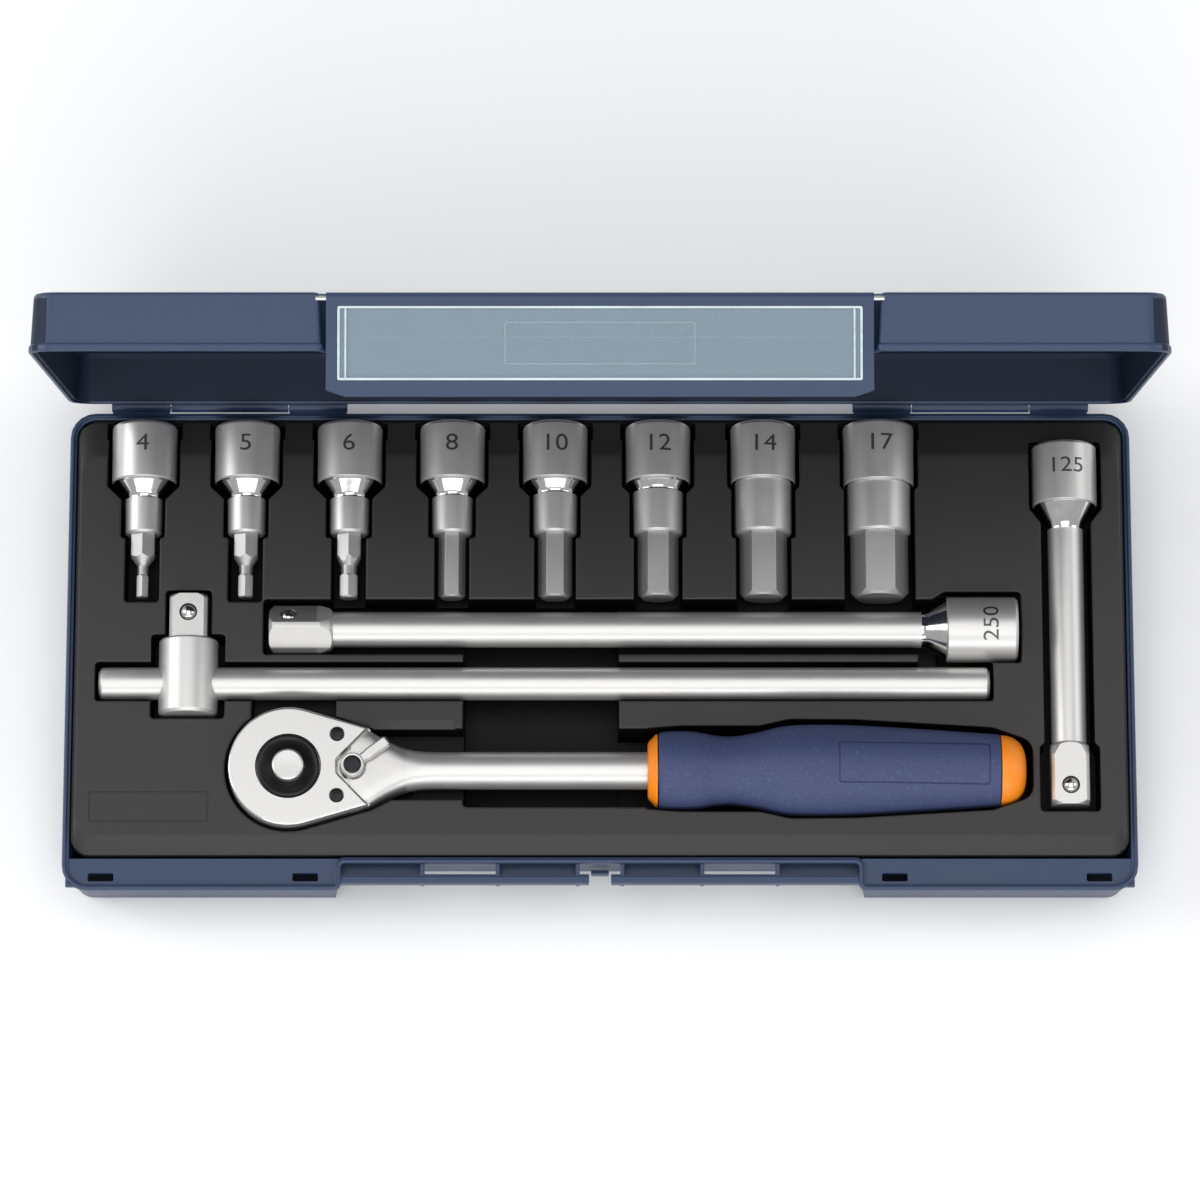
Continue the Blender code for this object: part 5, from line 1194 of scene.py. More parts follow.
def hexagon(flats, start, end, turn):
    bm = bmesh.new()
    radius = corner_radius(flats)
    bmesh.ops.create_cone(bm, cap_ends=True, segments=6, radius1=radius, radius2=radius, depth=end - start)
    bmesh.ops.translate(bm, vec=(0, 0, (start + end) / 2), verts=bm.verts)
    bmesh.ops.rotate(bm, matrix=Matrix.Rotation(turn + math.radians(30), 3, "Z"), verts=bm.verts)
    edges = [edge for edge in bm.edges if abs(edge.verts[0].co.z - edge.verts[1].co.z) > 1 * MM]
    bmesh.ops.bevel(bm, geom=edges, offset=0.18 * MM, affect="EDGES", segments=2, profile=0.5, material=-1)
    return piece_from(bm, "hexagon")


def socket_body(size, place, radius):
    neck = SOCKET_NECK[size] * MM
    end = 38.0 * MM
    body_end = 21.0 * MM if size == 17 else 20.0 * MM
    stations = [
        (0.0, radius - 1.0 * MM, 0.0), (0.35 * MM, radius - 0.35 * MM, 0.3 * MM),
        (1.1 * MM, radius, 0.6 * MM), (body_end - 0.5 * MM, radius, 0.25 * MM),
        (body_end, radius - 0.6 * MM, 0.2 * MM),
    ]
    slope = SHOULDER_SLOPE.get(size, 0.0) * MM
    if slope:
        stations.append((body_end + 0.5 * MM, radius - 1.1 * MM, 0.3 * MM))
        stations.append((body_end + slope, neck + 0.1 * MM, 2.6 * MM))
    else:
        stations.append((body_end + 0.1 * MM, neck, 0.05 * MM))
    stations += [(end - 0.7 * MM, neck, 0.3 * MM), (end, neck - 0.7 * MM, 0.0)]
    body = lathe(f"hex_socket_{size:02d}", stations, place, 72)
    held = max(size, 8) * MM + 0.3 * MM
    turn = math.radians(30) if size < 8 else 0.0
    hole = moved(hexagon(held, 23.85 * MM, end + 1 * MM, turn), place)
    carve(body, drive_hole(place), hole)
    return body, body_end, slope


def hex_bit(size, place):
    flats = size * MM
    tip = 60.0 * MM
    turn = math.radians(30) if size < 8 else 0.0
    corner = corner_radius(flats)
    chamfer = 0.1 * flats + 0.25 * MM
    if size >= 8:
        shape = hexagon(flats, 24 * MM, tip, turn)
        limits = [(23 * MM, corner + 1 * MM), (tip - chamfer, corner + 0.05 * MM), (tip, corner - chamfer)]
        carve(shape, lathe("bit_limits", limits, steps=72), operation="INTERSECT")
        return moved(shape, place)
    shape = hexagon(8 * MM, 24 * MM, 50 * MM, turn)
    neck = 0.46 * flats
    limits = [(23 * MM, 6 * MM), (45.0 * MM, 4.75 * MM), (48.8 * MM, neck, 1.2 * MM), (50 * MM, neck)]
    carve(shape, lathe("bit_limits", limits, steps=72), operation="INTERSECT")
    narrow = lathe("bit_neck", [(49 * MM, neck * 0.98, 0), (53.5 * MM, neck * 0.98, 0)], steps=48)
    blade = hexagon(flats, 52 * MM, tip, turn)
    limits = [(51.9 * MM, corner - 0.5 * MM), (52.8 * MM, corner + 0.05 * MM)]
    limits += [(tip - chamfer, corner + 0.05 * MM), (tip, corner - chamfer)]
    carve(blade, lathe("blade_limits", limits, steps=72), operation="INTERSECT")
    return moved(unite(shape, narrow, blade), place)


class SocketsOperator(bpy.types.Operator):
    """Add the eight hex-bit sockets"""

    bl_idname = "socket_set.sockets"
    bl_label = "Hex-Bit Sockets"

    def execute(self, context):
        for size in SIZES:
            centre, radius = socket_place(size)
            place = lying_y(centre, SOCKET_BACK)
            rider = f"socket_{size:02d}"
            body, body_end, slope = socket_body(size, place, radius)
            finish(body, rider, [rider], "satin_chrome", "chrome_y", "polished")
            top = SOCKET_BACK - body_end
            paint_faces(body, 1, lambda centre: top - slope - 1.2 * MM < centre.y < top + 0.1 * MM)
            bit = hex_bit(size, place)
            bit.name = f"hex_bit_{size:02d}"
            finish(bit, rider, [f"bit_{size:02d}"], "bit_steel", "bit_steel")
            figures = lettering(f"size_{size:02d}", str(size), 8.2 * MM)
            moved(figures, Matrix.Translation((0, SOCKET_BACK - 8.4 * MM, 0)))
            wrapped(figures, radius, Vector((centre, 0, AXIS_HEIGHT)))
            finish(figures, rider, [], "satin_chrome", "engraving")
        return {"FINISHED"}


def milled_square(total, start, place, turn=0.0):
    """Four cutters that leave a drive square, each with a half-round end."""
    half = DRIVE_SQUARE / 2
    wide, reach, top = half + 0.2 * MM, 11 * MM, 14 * MM
    end = total + 2 * MM
    corners = ((-wide, start), (wide, start), (reach, start), (reach, end), (-reach, end), (-reach, start))
    cutters = []
    for side in range(4):
        flat = stack("mill", [Vector(corner) for corner in corners], [(0, half), (0, top)])
        radius = 5.6 * MM
        round_end = lathe("mill_end", [(half, radius), (top, radius)], Matrix.Translation((0, start, 0)), 40)
        cutter = unite(flat, round_end)
        moved(cutter, QUARTER_X @ Matrix.Diagonal((1, 1, -1, 1)))
        cutter.data.flip_normals()
        moved(cutter, place @ Matrix.Rotation(turn + math.pi / 2 * side, 4, "Z"))
        cutters.append(cutter)
    return cutters


def detent(name, place, along, turn):
    """The spring ball in a drive square and the cutter for its seat."""
    height = DRIVE_SQUARE / 2 - 1.8 * MM
    turned = Matrix.Rotation(turn, 4, "Z")
    centre = place @ turned @ Vector((0, height, along))
    seat = lathe("seat", mm((-4, 3.0), (1.8, 3.0), (2.4, 3.5), (4, 3.5)), steps=48)
    turn_up = turned @ Matrix.Rotation(-math.pi / 2, 4, "X") @ Matrix.Translation((0, 0, height))
    moved(seat, place @ Matrix.Translation((0, 0, along)) @ turn_up)
    return bead(name, centre, 2.92 * MM), seat


def extension_bar(name, total, head, place, turn):
    edge = 0.8 * MM
    square = total - 16 * MM
    stations = [
        (0.0, BAR_HEAD - edge, 0), (edge, BAR_HEAD, 0.5 * MM), (head - 0.5 * MM, BAR_HEAD, 0.3 * MM),
        (head, 10.3 * MM, 0.3 * MM), (head + 7.5 * MM, SHANK_RADIUS + 0.1 * MM, 6 * MM),
        (square - 5.5 * MM, SHANK_RADIUS, 0.4 * MM), (square - 4.4 * MM, 7.2 * MM, 0.6 * MM),
        (square - 1.2 * MM, TURNED_RADIUS, 0.8 * MM), (total - 1.4 * MM, TURNED_RADIUS, 0.4 * MM),
        (total, TURNED_RADIUS - 1.6 * MM, 0),
    ]
    bar = lathe(name, stations, place, 72)
    ball, seat = detent(f"{name}_detent", place, total - 6.5 * MM, turn)
    carve(bar, drive_hole(place, turn), *milled_square(total, square, place, turn), seat)
    return bar, ball


class ExtensionsOperator(bpy.types.Operator):
    """Add the two extension bars with their detent balls"""

    bl_idname = "socket_set.extensions"
    bl_label = "Extension Bars"

    def execute(self, context):
        centre = middle(SHORT_LOW, SHORT_HIGH).x
        place = lying_y(centre, SHORT_HIGH.y)
        figures = self.add_bar("125", 125 * MM, 21 * MM, place, 0.0, 1, SHORT_HIGH.y)
        moved(figures, Matrix.Translation((0, SHORT_HIGH.y - FIGURES_FROM_END, 0)))
        wrapped(figures, BAR_HEAD, Vector((centre, 0, AXIS_HEIGHT)))
        finish(figures, "extension_125", [], "satin_chrome", "engraving")
        line = middle(LONG_LOW, LONG_HIGH).y
        quarter = Matrix.Translation((LONG_HIGH.x, line, AXIS_HEIGHT)) @ Matrix.Rotation(-math.pi / 2, 4, "Z")
        place = quarter @ QUARTER_X
        figures = self.add_bar("250", 252 * MM, 24 * MM, place, math.radians(45), 0, LONG_HIGH.x)
        moved(figures, Matrix.Translation((0, -FIGURES_FROM_END, 0)) @ Matrix.Rotation(math.pi, 4, "Z"))
        wrapped(figures, BAR_HEAD, Vector((0, 0, 0)))
        moved(figures, quarter)
        finish(figures, "extension_250", [], "satin_chrome", "engraving")
        return {"FINISHED"}

    def add_bar(self, tag, total, head, place, turn, axis, end):
        """One bar with its ball, lying along axis 0 (X) or 1 (Y); returns its flat figures."""
        bar, ball = extension_bar(f"extension_bar_{tag}", total, head, place, turn)
        node = f"extension_{tag}"
        satin = ("chrome_x", "chrome_y")[axis]
        finish(bar, node, [f"{node}_bar"], "satin_chrome", satin, "polished", "chrome_flat")
        paint_faces(bar, 1, lambda centre: head - 0.1 * MM < end - centre[axis] < head + 8.5 * MM)
        paint_faces(bar, 2, lambda centre: end - centre[axis] > total - 16.1 * MM)
        finish(ball, f"{node}_ball", [f"{node}_ball"], "spring_steel", "polished")
        return lettering(f"length_{tag}", tag, 7.4 * MM)


class SlidingHandleOperator(bpy.types.Operator):
    """Add the T-handle: its rod, its sliding head and the detent ball"""

    bl_idname = "socket_set.sliding_handle"
    bl_label = "Sliding T-Handle"

    def execute(self, context):
        line = middle(ROD_LOW, ROD_HIGH).y
        rod_place = Matrix.Translation((ROD_LOW.x, line, AXIS_HEIGHT)) @ QUARTER_Y
        total = ROD_HIGH.x - ROD_LOW.x
        radius = ROD_RADIUS
        tip, shoulder = radius - 1.3 * MM, radius - 0.1 * MM
        rod = lathe(
            "sliding_rod",
            [
                (0, tip), (0.9 * MM, shoulder, 0.5 * MM), (2.2 * MM, radius, 0.4 * MM),
                (total - 2.2 * MM, radius, 0.4 * MM), (total - 0.9 * MM, shoulder, 0.5 * MM), (total, tip),
            ],
            rod_place, 64,
        )
        finish(rod, "t_handle", ["t_handle_rod"], "satin_chrome", "chrome_x")
        centre = middle(SLIDER_LOW, SLIDER_HIGH).x
        place = lying_y(centre, SLIDER_HIGH.y)
        square = 15 * MM
        end = SLIDER_HIGH.y - SLIDER_LOW.y
        head = lathe(
            "sliding_head",
            [
                (0, TURNED_RADIUS - 1.2 * MM, 0), (1.2 * MM, TURNED_RADIUS, 0.5 * MM),
                (square, TURNED_RADIUS, 0), (square + 0.2 * MM, 9.3 * MM, 0.1 * MM),
                (square + 0.9 * MM, 10 * MM, 0.3 * MM), (end - 1.2 * MM, 10 * MM, 0.5 * MM),
                (end - 0.3 * MM, 9.2 * MM, 0.3 * MM), (end, 8.6 * MM, 0),
            ],
            place, 72,
        )
        across = Matrix.Translation((centre, line, AXIS_HEIGHT)) @ QUARTER_Y
        hole = lathe("rod_hole", mm((-12, 5.7), (12, 5.7)), across, 64)
        ball, seat = detent("sliding_head_detent", place, 6.5 * MM, 0.0)
        half = DRIVE_SQUARE / 2
        kept = rectangle(-half, half, -half, half, 0.3 * MM, 2)
        around = rectangle(-15 * MM, 15 * MM, -15 * MM, 15 * MM, 1 * MM, 2)
        inner = moved(stack("keep", kept, [(0, -2 * MM), (0, square + 2 * MM)]), place)
        outer = moved(stack("mill", around, [(0, -1 * MM), (0, square)]), place)
        carve(outer, inner)
        carve(head, outer, hole, seat)
        finish(head, "t_handle", ["t_handle_head"], "satin_chrome", "chrome_y", "chrome_flat")
        paint_faces(head, 1, lambda centre: centre.y > SLIDER_HIGH.y - square)
        finish(ball, "t_handle_ball", ["t_handle_ball"], "spring_steel", "polished")
        return {"FINISHED"}


# ------------------------------------------------------------------ ratchet

HEAD_TOP = 38.0 * MM
ABOVE = 50 * MM
HEAD_BOTTOM = 20.0 * MM
COVER_BOTTOM = 35.6 * MM
HEAD_CORNER = (27.3 * MM, 13.0 * MM)
NECK_REACH = 40.3 * MM
SHAFT_RADIUS = 6.3 * MM
LEVER = Vector(JOINTS["lever_turn"]["pos_m"])
LEVER_REACH = LEVER.x - HEAD_CENTRE.x
LEVER_ANGLE = math.radians(36)
SCREWS = ((16.3 * MM, 11.0 * MM), (16.3 * MM, -10.0 * MM))


def head_place(x=0.0, y=0.0, z=0.0):
    return Matrix.Translation((HEAD_CENTRE.x + x, HEAD_CENTRE.y + y, z))


def head_outline(neck=True):
    """The ratchet's head seen from above, with or without the neck."""
    radius = 20.2 * MM
    tangent = math.atan2(HEAD_CORNER[1], HEAD_CORNER[0]) + math.acos(radius / math.hypot(*HEAD_CORNER))
    turns = [tangent + (math.tau - 2 * tangent) * step / 56 for step in range(57)]
    points = [Vector((radius * math.cos(a), radius * math.sin(a))) for a in turns]
    ends = [(HEAD_CORNER[0], -HEAD_CORNER[1]), HEAD_CORNER]
    if neck:
        ends[1:1] = [(NECK_REACH, -SHAFT_RADIUS), (NECK_REACH, SHAFT_RADIUS)]
    return [point + HEAD_CENTRE.xy for point in points + [Vector(end) for end in ends]]


def oval(x, half_width, bottom, top, power, count=64):
    """A ring across the handle: round where the power is 2, and squarer above that."""
    centre, half_height = (bottom + top) / 2, (top - bottom) / 2
    ring = []
    for step in range(count):
        angle = math.tau * step / count
        across, up = math.cos(angle), math.sin(angle)
        y = math.copysign(abs(across) ** (2 / power), across) * half_width
        z = math.copysign(abs(up) ** (2 / power), up) * half_height
        ring.append((HEAD_CENTRE.x + x, RATCHET_LINE + y, centre + z))
    return ring


def neck_and_shaft():
    """The neck narrows from the head's flat end to the round shaft."""
    sections = [
        (21.0, 15.2, 20.6, 36.9, 7.0), (24.0, 14.2, 20.6, 36.9, 6.5), (27.3, 12.9, 20.8, 36.9, 6.0),
        (29.5, 11.6, 21.1, 36.9, 5.2), (32.0, 10.2, 21.6, 36.9, 4.4), (34.5, 9.0, 22.2, 36.8, 3.7),
        (37.0, 8.0, 22.8, 36.7, 3.1), (39.5, 7.2, 23.2, 36.6, 2.6), (42.0, 6.7, 23.5, 36.45, 2.3),
        (45.0, 6.4, 23.65, 36.35, 2.1), (49.0, 6.3, 23.7, 36.3, 2.0),
        (112.0 - HEAD_CENTRE.x / MM, 6.3, 23.7, 36.3, 2.0),
    ]
    rings = [oval(x * MM, half * MM, low * MM, high * MM, power) for x, half, low, high, power in sections]
    return skin("neck", rings)


def notch(grow, low, high):
    """The V in the cover round the lever, cut with a sloped edge."""
    apex, far, end = 16.4 * MM, HEAD_CORNER[0] + 1 * MM, 46 * MM
    narrow, wide = 2.2 * MM, 14.5 * MM
    corners = [(apex, -narrow, 1.6 * MM), (far, -wide, 0), (end, -wide, 0)]
    corners += [(end, wide, 0), (far, wide, 0), (apex, narrow, 1.6 * MM)]
    outline = [point + HEAD_CENTRE.xy for point in rounded(corners, 5)]
    levels = [(grow, low), (grow, HEAD_TOP - 0.75 * MM), (grow - 0.7 * MM, HEAD_TOP), (grow - 0.7 * MM, high)]
    return stack("notch", outline, levels)


def drill(radius, bottom, top, x=0.0, y=0.0, flare=0.0):
    """A cutter for an upright round hole in the head, wider at the cover's face by the flare."""
    stations = [(bottom, radius), (top, radius)]
    if flare:
        wide = radius + flare
        stations = [(bottom, radius), (HEAD_TOP - flare, radius), (HEAD_TOP, wide), (top, wide)]
    return lathe("drill", stations, head_place(x, y), 48)


class RatchetOperator(bpy.types.Operator):
    """Add the ratchet's housing with its shaft, the cover plate and its screws"""

    bl_idname = "socket_set.ratchet"
    bl_label = "Ratchet Body"

    def execute(self, context):
        self.add_body()
        self.add_cover()
        for index, (x, y) in enumerate(SCREWS):
            place = head_place(x, y, HEAD_TOP)
            stations = mm((-7, 1.2), (-1.1, 1.2), (-1.0, 2.25), (-0.25, 2.25, 0.3), (-0.05, 1.7))
            screw = lathe("screw", stations, place, 36)
            recess = moved(hexagon(2.2 * MM, -1.0 * MM, 1 * MM, 0.2 + index), place)
            carve(screw, recess)
            screw.name = f"cover_socket_screw_{index + 1}"
            finish(screw, "ratchet", [f"cover_screw_{index + 1}"], "dark_steel", "black_oxide")
        return {"FINISHED"}

    def add_body(self):
        levels = [
            (1.2 * MM, HEAD_BOTTOM), (0.3 * MM, HEAD_BOTTOM + 0.5 * MM), (0.0, HEAD_BOTTOM + 1.4 * MM),
            (0.0, COVER_BOTTOM - 0.3 * MM),
        ]
        body = stack("ratchet_housing", head_outline(neck=False), levels)
        unite(body, neck_and_shaft())
        rooms = [
            drill(15.2 * MM, 22.6 * MM, ABOVE), drill(10.5 * MM, 0, 30 * MM),
            drill(3.1 * MM, 23.6 * MM, ABOVE, LEVER_REACH), drill(4.5 * MM, 35.0 * MM, ABOVE, LEVER_REACH),
        ]
        rooms.append(moved(block("pawl_room", *mm((12.6, -7.5, 23.6), (19.6, 7.5, 35.0))), head_place()))
        carve(body, *rooms)
        body.name = "ratchet_housing_and_shaft"
        finish(body, "ratchet", ["ratchet_body"], "satin_chrome", "chrome_flat", "chrome_x")
        start = HEAD_CENTRE.x + 40 * MM
        paint_faces(body, 1, lambda centre: centre.x > start)

    def add_cover(self):
        levels = [(0.1 * MM, COVER_BOTTOM), (0.0, COVER_BOTTOM + 0.15 * MM), (0.0, HEAD_TOP - 0.9 * MM)]
        for step in (1, 2, 3, 4):
            angle = math.pi / 2 * step / 4
            levels.append((0.9 * MM * (1 - math.cos(angle)), HEAD_TOP - 0.9 * MM * (1 - math.sin(angle))))
        cover = stack("ratchet_cover", head_outline(neck=False), levels)
        cutters = [notch(0.0, COVER_BOTTOM - 1 * MM, HEAD_TOP + 2 * MM)]
        cutters.append(drill(10.8 * MM, 30 * MM, ABOVE, flare=0.25 * MM))
        cutters.append(drill(4.6 * MM, 30 * MM, ABOVE, LEVER_REACH))
        for x, y in SCREWS:
            cutters.append(drill(1.35 * MM, 30 * MM, ABOVE, x, y))
            cutters.append(drill(2.4 * MM, HEAD_TOP - 1.4 * MM, ABOVE, x, y, 0.15 * MM))
        carve(cover, *cutters)
        finish(cover, "ratchet", ["cover_plate"], "satin_chrome", "chrome_flat", "polished")
        for face in cover.data.polygons:
            sloped = 0.3 < face.normal.z < 0.95
            if sloped and face.center.z > HEAD_TOP - 0.9 * MM:
                face.material_index = 1


class DriveOperator(bpy.types.Operator):
    """Add the drive gear with its square, the button ring, the release button and the ball"""

    bl_idname = "socket_set.drive"
    bl_label = "Drive and Button"

    def execute(self, context):
        teeth = []
        for tooth in range(30):
            for share, reach in ((-0.14, 13.2), (0.14, 13.2), (0.42, 14.6), (0.58, 14.6)):
                angle = math.tau * (tooth + share) / 30
                point = Vector((reach * MM * math.cos(angle), reach * MM * math.sin(angle)))
                teeth.append(point + HEAD_CENTRE.xy)
        gear = prism("drive_gear_and_square", teeth, 23.1 * MM, 35.1 * MM)
        neck = lathe("gear_neck", mm((20.5, 9.8), (20.9, 10.2), (24.2, 10.2)), head_place())
        half = DRIVE_SQUARE / 2
        outline = [p + HEAD_CENTRE.xy for p in rectangle(-half, half, -half, half, 1.2 * MM, 4)]
        levels = mm((0.9, 5.0), (0.25, 5.5), (0, 6.4), (0, 22.0))
        unite(gear, neck, stack("gear_square", outline, levels))
        ball_height = 11.5 * MM
        stations = [(0, 3.1 * MM), (half - 0.5 * MM, 3.1 * MM), (half, 3.5 * MM), (half + 5 * MM, 3.5 * MM)]
        seat = lathe("gear_seat", stations, head_place(z=ball_height) @ QUARTER_X, 40)
        carve(gear, drill(5.8 * MM, 26.1 * MM, ABOVE), drill(3.4 * MM, 7.5 * MM, ABOVE), seat)
        finish(gear, "drive_gear", ["drive_gear"], "satin_chrome", "chrome_flat")
        centre = HEAD_CENTRE.xy.to_3d() + Vector((0, -half + 1.8 * MM, ball_height))
        detent_ball = bead("drive_square_ball", centre, 2.95 * MM)
        finish(detent_ball, "drive_ball", ["drive_ball"], "spring_steel", "polished")
        cone = [
            (35.4 * MM, 10.5 * MM), (HEAD_TOP + 0.35 * MM, 10.5 * MM, 0.3 * MM),
            (HEAD_TOP + 0.9 * MM, 9.9 * MM, 0.4 * MM), (HEAD_TOP + 0.8 * MM, 9.3 * MM, 0.5 * MM),
            (HEAD_TOP - 1.2 * MM, 6.4 * MM, 0.8 * MM), (HEAD_TOP - 1.5 * MM, 5.6 * MM),
            (35.4 * MM, 5.6 * MM), (35.4 * MM, 10.5 * MM),
        ]
        ring = lathe("button_cone", cone, head_place(), 96)
        finish(ring, "drive_gear", ["button_ring"], "dark_steel", "black_oxide")
        stations = mm(
            (18, 2.8), (32.0, 2.8), (32.1, 5.3), (40.6, 5.3, 0.4), (41.0, 4.7, 0.3), (40.92, 2.0), (40.9, 0)
        )
        button = lathe("push_button", stations, head_place(), 80)
        finish(button, "release_button", ["release_button"], "satin_chrome", "chrome_flat")
        return {"FINISHED"}


class LeverOperator(bpy.types.Operator):
    """Add the reversing lever with its black cap"""

    bl_idname = "socket_set.reversing_lever"
    bl_label = "Reversing Lever"

    def execute(self, context):
        place = Matrix.Translation((LEVER.x, LEVER.y, 0)) @ Matrix.Rotation(LEVER_ANGLE, 4, "Z")
        stations = mm(
            (24.1, 2.8), (35.2, 2.8), (35.3, 4.0), (40.5, 4.0, 0.4), (41.0, 3.6, 0.2), (40.9, 3.05),
            (40.0, 3.0), (40.0, 0),
        )
        hub = lathe("lever_with_hub", stations, steps=64)
        corners = mm(
            (0.5, -1.7, 0), (5.4, -1.7, 0.4), (6.4, -2.0, 0.4), (14.6, -2.1, 1.3), (14.6, 2.1, 1.3),
            (6.4, 2.0, 0.4), (5.4, 1.7, 0.4), (0.5, 1.7, 0),
        )
        outline = rounded(corners, 4)
        low, high = 38.3 * MM, 40.6 * MM
        levels = [(0.2 * MM, low), (0.0, low + 0.2 * MM), (0.0, low + 0.9 * MM)]
        levels += [(0.45 * MM, high - 0.25 * MM), (0.8 * MM, high)]
        arm = stack("arm", outline, levels)
        carve(arm, lathe("clear", mm((30, 3.3), (45, 3.3)), steps=48))
        across = Matrix.Rotation(-LEVER_ANGLE, 4, "Z") @ Matrix.Translation((0, 0, 29.1 * MM)) @ QUARTER_Y
        bore = lathe("bore", mm((-4, 1.2), (2.0, 1.2)), across, 24)
        unite(hub, arm)
        carve(hub, bore)
        moved(hub, place)
        finish(hub, "reversing_lever", ["reversing_lever"], "satin_chrome", "chrome_flat")
        stations = mm((40.3, 2.9), (40.8, 2.9, 0.2), (41.1, 2.5, 0.3), (41.1, 0))
        cap = lathe("lever_hub_cap", stations, place, 48)
        finish(cap, "reversing_lever", ["lever_cap"], "dark_steel", "black_oxide")
        return {"FINISHED"}


def smooth_stations(stations, steps=5):
    """More stations between the given ones, on a smooth curve through them."""
    made = []
    for index in range(len(stations) - 1):
        before = stations[max(index - 1, 0)]
        first, second = stations[index], stations[index + 1]
        after = stations[min(index + 2, len(stations) - 1)]
        span = second[0] - first[0]
        slope_in = (second[1] - before[1]) / (second[0] - before[0])
        slope_out = (after[1] - first[1]) / (after[0] - first[0])
        for step in range(steps):
            t = step / steps
            start = (2 * t**3 - 3 * t**2 + 1) * first[1] + (t**3 - 2 * t**2 + t) * span * slope_in
            end = (3 * t**2 - 2 * t**3) * second[1] + (t**3 - t**2) * span * slope_out
            made.append((first[0] + span * t, start + end))
    made.append(stations[-1])
    return made


class HandleOperator(bpy.types.Operator):
    """Add the ratchet's orange collar, its soft grip and the orange end cap"""

    bl_idname = "socket_set.handle"
    bl_label = "Ratchet Handle"

    def execute(self, context):
        place = Matrix.Translation((0, RATCHET_LINE, AXIS_HEIGHT)) @ QUARTER_Y
        bore = 6.45 * MM
        outside = mm((16.0, 9.0, 0.4), (16.5, 10.0, 0.3), (18.8, 12.3, 0.4), (19.3, 12.4, 0.2))
        closing = [(19.3 * MM, bore), (16.0 * MM, bore)]
        collar = lathe("handle_collar", [(16.0 * MM, bore), *outside, *closing], place, 96)
        finish(collar, "ratchet", ["grip_collar"], "orange", "orange_plastic")
        left, right = GRIP_LOW.x, GRIP_HIGH.x
        curve = smooth_stations([(along * MM, radius * MM) for along, radius in GRIP_STATIONS])
        skin_line = [(left + along, radius) for along, radius in curve]
        start = [(left, bore), (left, 12.1 * MM), (left + 0.25 * MM, 12.5 * MM)]
        end = [(right - 0.3 * MM, 12.25 * MM), (right, 12.0 * MM), (right, bore), (left, bore)]
        body = [station for station in skin_line if left + 0.4 * MM < station[0] < right - 0.6 * MM]
        grip = lathe("soft_grip", start + body + end, place, 96)
        inside = lathe("inside", [(s[0], s[1] - 0.4 * MM) for s in start[1:] + body + end[:2]], place, 96)
        half = 7.0 * MM
        outer = rectangle(79.6 * MM, 130.4 * MM, RATCHET_LINE - half, RATCHET_LINE + half, 1.0 * MM, 3)
        frame_line = stack("frame_line", outer, [(0, 36 * MM), (0, 60 * MM)])
        core = stack("core", inset(outer, 0.55 * MM), [(0, 30 * MM), (0, 62 * MM)])
        carve(frame_line, core, inside)
        carve(grip, frame_line)
        finish(grip, "ratchet", ["grip"], "grip_navy", "grip_rubber")
        start, length_of_dome, radius = 134.3 * MM, 8.6 * MM, 12.0 * MM
        stations = [(119.0 * MM, 6.1 * MM), (134.25 * MM, 6.1 * MM), (start, radius)]
        for step in range(1, 12):
            angle = math.pi / 2 * step / 12
            stations.append((start + length_of_dome * math.sin(angle), radius * math.cos(angle) ** 0.6))
        stations.append((142.9 * MM, 0.9 * MM))
        cap = lathe("handle_end_cap", stations, place, 96)
        finish(cap, "ratchet", ["end_cap"], "orange", "orange_plastic")
        return {"FINISHED"}


KEPT_NODES = (
    "hinge_pin_left", "hinge_pin_right", "flap_pin_left", "flap_pin_right", "extension_125_spring",
    "extension_250_spring", "t_handle_spring", "rod_detent_ball", "rod_detent_spring",
    "button_spring", "plunger_spring", "pawl_plunger", "pawl",
)


class SmallPartsOperator(bpy.types.Operator):
    """Give the pins, springs, pawl and plunger their finishes"""

    bl_idname = "socket_set.small_parts"
    bl_label = "Pins and Springs"

    def execute(self, context):
        for name, node in frame["nodes"].items():
            if name in KEPT_NODES:
                bright = any(word in name for word in ("spring", "pin", "ball"))
                node.data.materials.clear()
                node.data.materials.append(Finishes.get("polished" if bright else "bit_steel"))
        return {"FINISHED"}


# ------------------------------------------------------------------ stage


LIGHTS = (
    ("overhead", (0, 0.15, 2.6), (2.2, 1.2), 12),
    ("front_strip", (0, -2.2, 1.2), (3.0, 0.5), 20),
    ("front_fill", (0, -1.1, 2.4), (2.2, 1.0), 13),
    ("left_softbox", (-2.2, 0.3, 1.5), (1.2, 1.6), 22),
    ("right_softbox", (2.3, 0.2, 1.5), (1.0, 1.4), 9),
)
LIT_POINT = Vector((0, 0, 0.03))
CAMERA_TARGET = Vector((0, 0.0171, 0.030))


def area_light(name, place, size, energy):
    """A rectangular light of a size in metres and an energy in watts, turned to the case."""
    data = bpy.data.lights.new(name, "AREA")
    data.shape = "RECTANGLE"
    data.size, data.size_y = size
    data.energy = energy
    lamp = bpy.data.objects.new(name, data)
    bpy.context.scene.collection.objects.link(lamp)
    lamp.location = place
    lamp.rotation_euler = (LIT_POINT - Vector(place)).to_track_quat("-Z", "Y").to_euler()


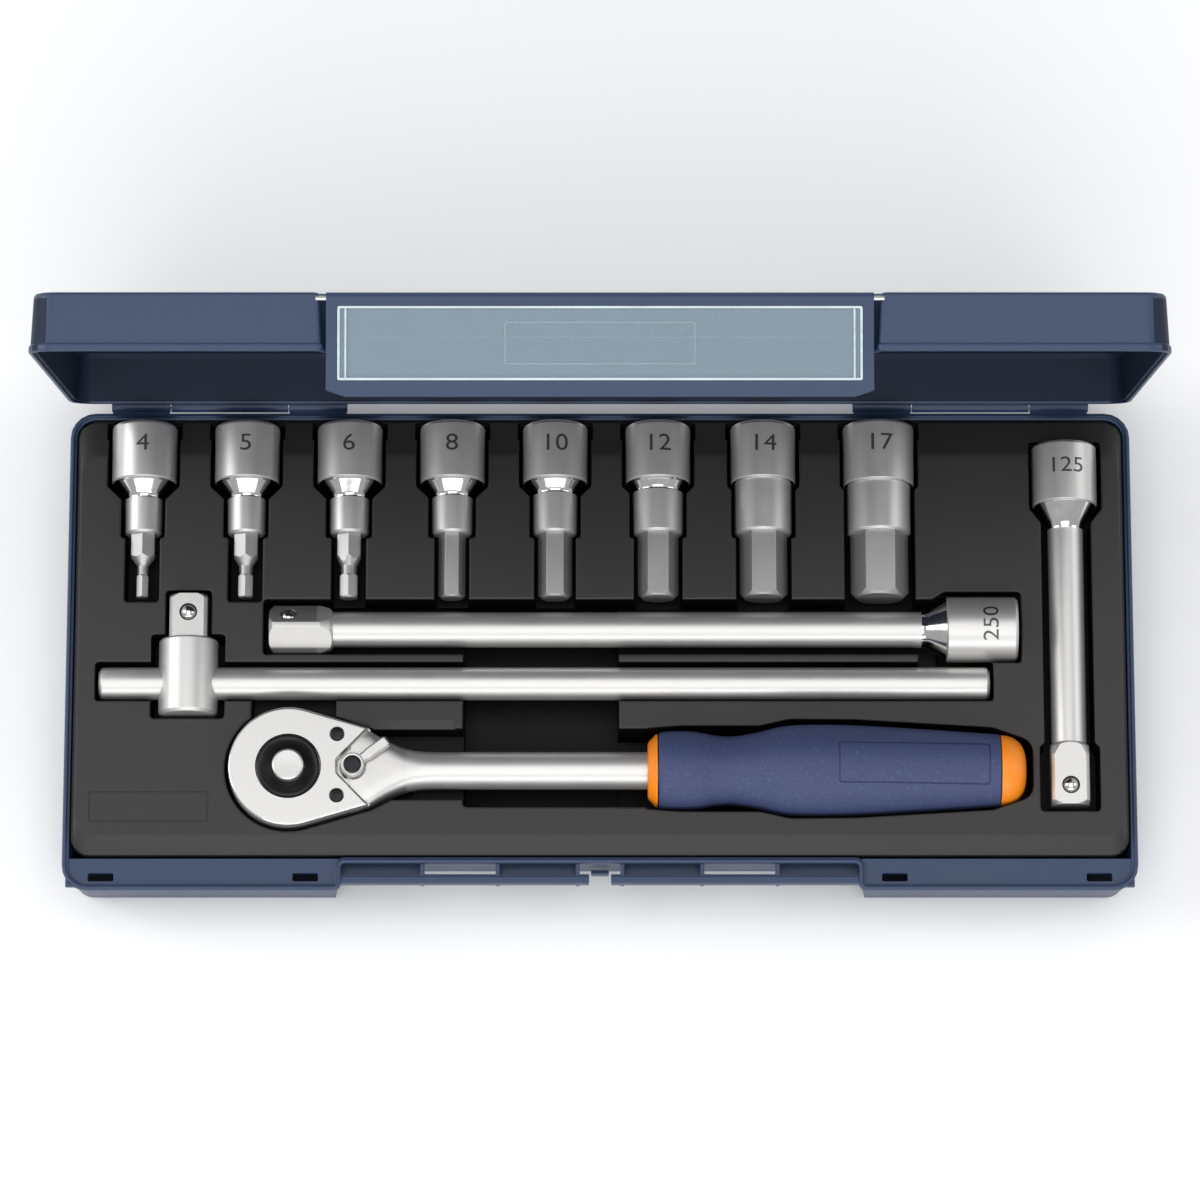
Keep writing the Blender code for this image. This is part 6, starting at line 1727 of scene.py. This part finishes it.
class StageOperator(bpy.types.Operator):
    """Add the pale floor, the studio lights and the camera"""

    bl_idname = "socket_set.stage"
    bl_label = "Stage"

    def execute(self, context):
        stage = settings("stage")
        bm = bmesh.new()
        bmesh.ops.create_grid(bm, x_segments=1, y_segments=1, size=6.0)
        floor = piece_from(bm, "pale_floor", tidy=False)
        floor.location.z = -0.0005
        floor.data.materials.append(Finishes.get("floor"))
        scene = bpy.context.scene
        world = bpy.data.worlds.new("studio")
        world.use_nodes = True
        background = world.node_tree.nodes["Background"]
        background.inputs["Color"].default_value = (0.95, 0.97, 1.0, 1.0)
        background.inputs["Strength"].default_value = 0.55
        scene.world = world
        for light in LIGHTS:
            area_light(*light)
        data = bpy.data.cameras.new("camera")
        data.lens = stage.lens
        data.sensor_width = 36
        data.clip_start = 0.05
        data.clip_end = 50
        camera = bpy.data.objects.new("camera", data)
        scene.collection.objects.link(camera)
        away = Vector((0, -math.cos(stage.elevation), math.sin(stage.elevation)))
        camera.location = CAMERA_TARGET + away * stage.distance
        camera.rotation_euler = (math.pi / 2 - stage.elevation, 0, 0)
        scene.camera = camera
        scene.view_settings.view_transform = "Standard"
        return {"FINISHED"}


# ------------------------------------------------------------------ panel and registration

STEPS = (
    BottomShellOperator, LidOperator, LatchFlapOperator, TrayOperator, SocketsOperator,
    ExtensionsOperator, SlidingHandleOperator, RatchetOperator, DriveOperator, LeverOperator,
    HandleOperator, SmallPartsOperator, StageOperator,
)
GROUPS = {
    "case": CaseSettings, "tray": TraySettings, "tools": ToolSettings, "grip": GripSettings,
    "stage": StageSettings,
}


class SocketSetPanel(bpy.types.Panel):
    """The settings of each group and the operators that build the pieces"""

    bl_idname = "VIEW3D_PT_socket_set"
    bl_label = "Socket Wrench Set"
    bl_space_type = "VIEW_3D"
    bl_region_type = "UI"
    bl_category = "Socket Set"

    def draw(self, context):
        layout = self.layout
        for name in GROUPS:
            box = layout.box()
            box.label(text=name.capitalize())
            group = settings(name)
            for key in group.__annotations__:
                box.prop(group, key)
        for step in STEPS:
            layout.operator(step.bl_idname)


def register():
    for group in GROUPS.values():
        bpy.utils.register_class(group)
    for name, group in GROUPS.items():
        setattr(bpy.types.Scene, f"socket_set_{name}", PointerProperty(type=group))
    for step in STEPS:
        bpy.utils.register_class(step)
    bpy.utils.register_class(SocketSetPanel)


def unregister():
    bpy.utils.unregister_class(SocketSetPanel)
    for step in reversed(STEPS):
        bpy.utils.unregister_class(step)
    for name in GROUPS:
        delattr(bpy.types.Scene, f"socket_set_{name}")
    for group in GROUPS.values():
        bpy.utils.unregister_class(group)


def main():
    register()
    for step in STEPS:
        group, name = step.bl_idname.split(".")
        getattr(getattr(bpy.ops, group), name)()


if __name__ == "__main__":
    main()
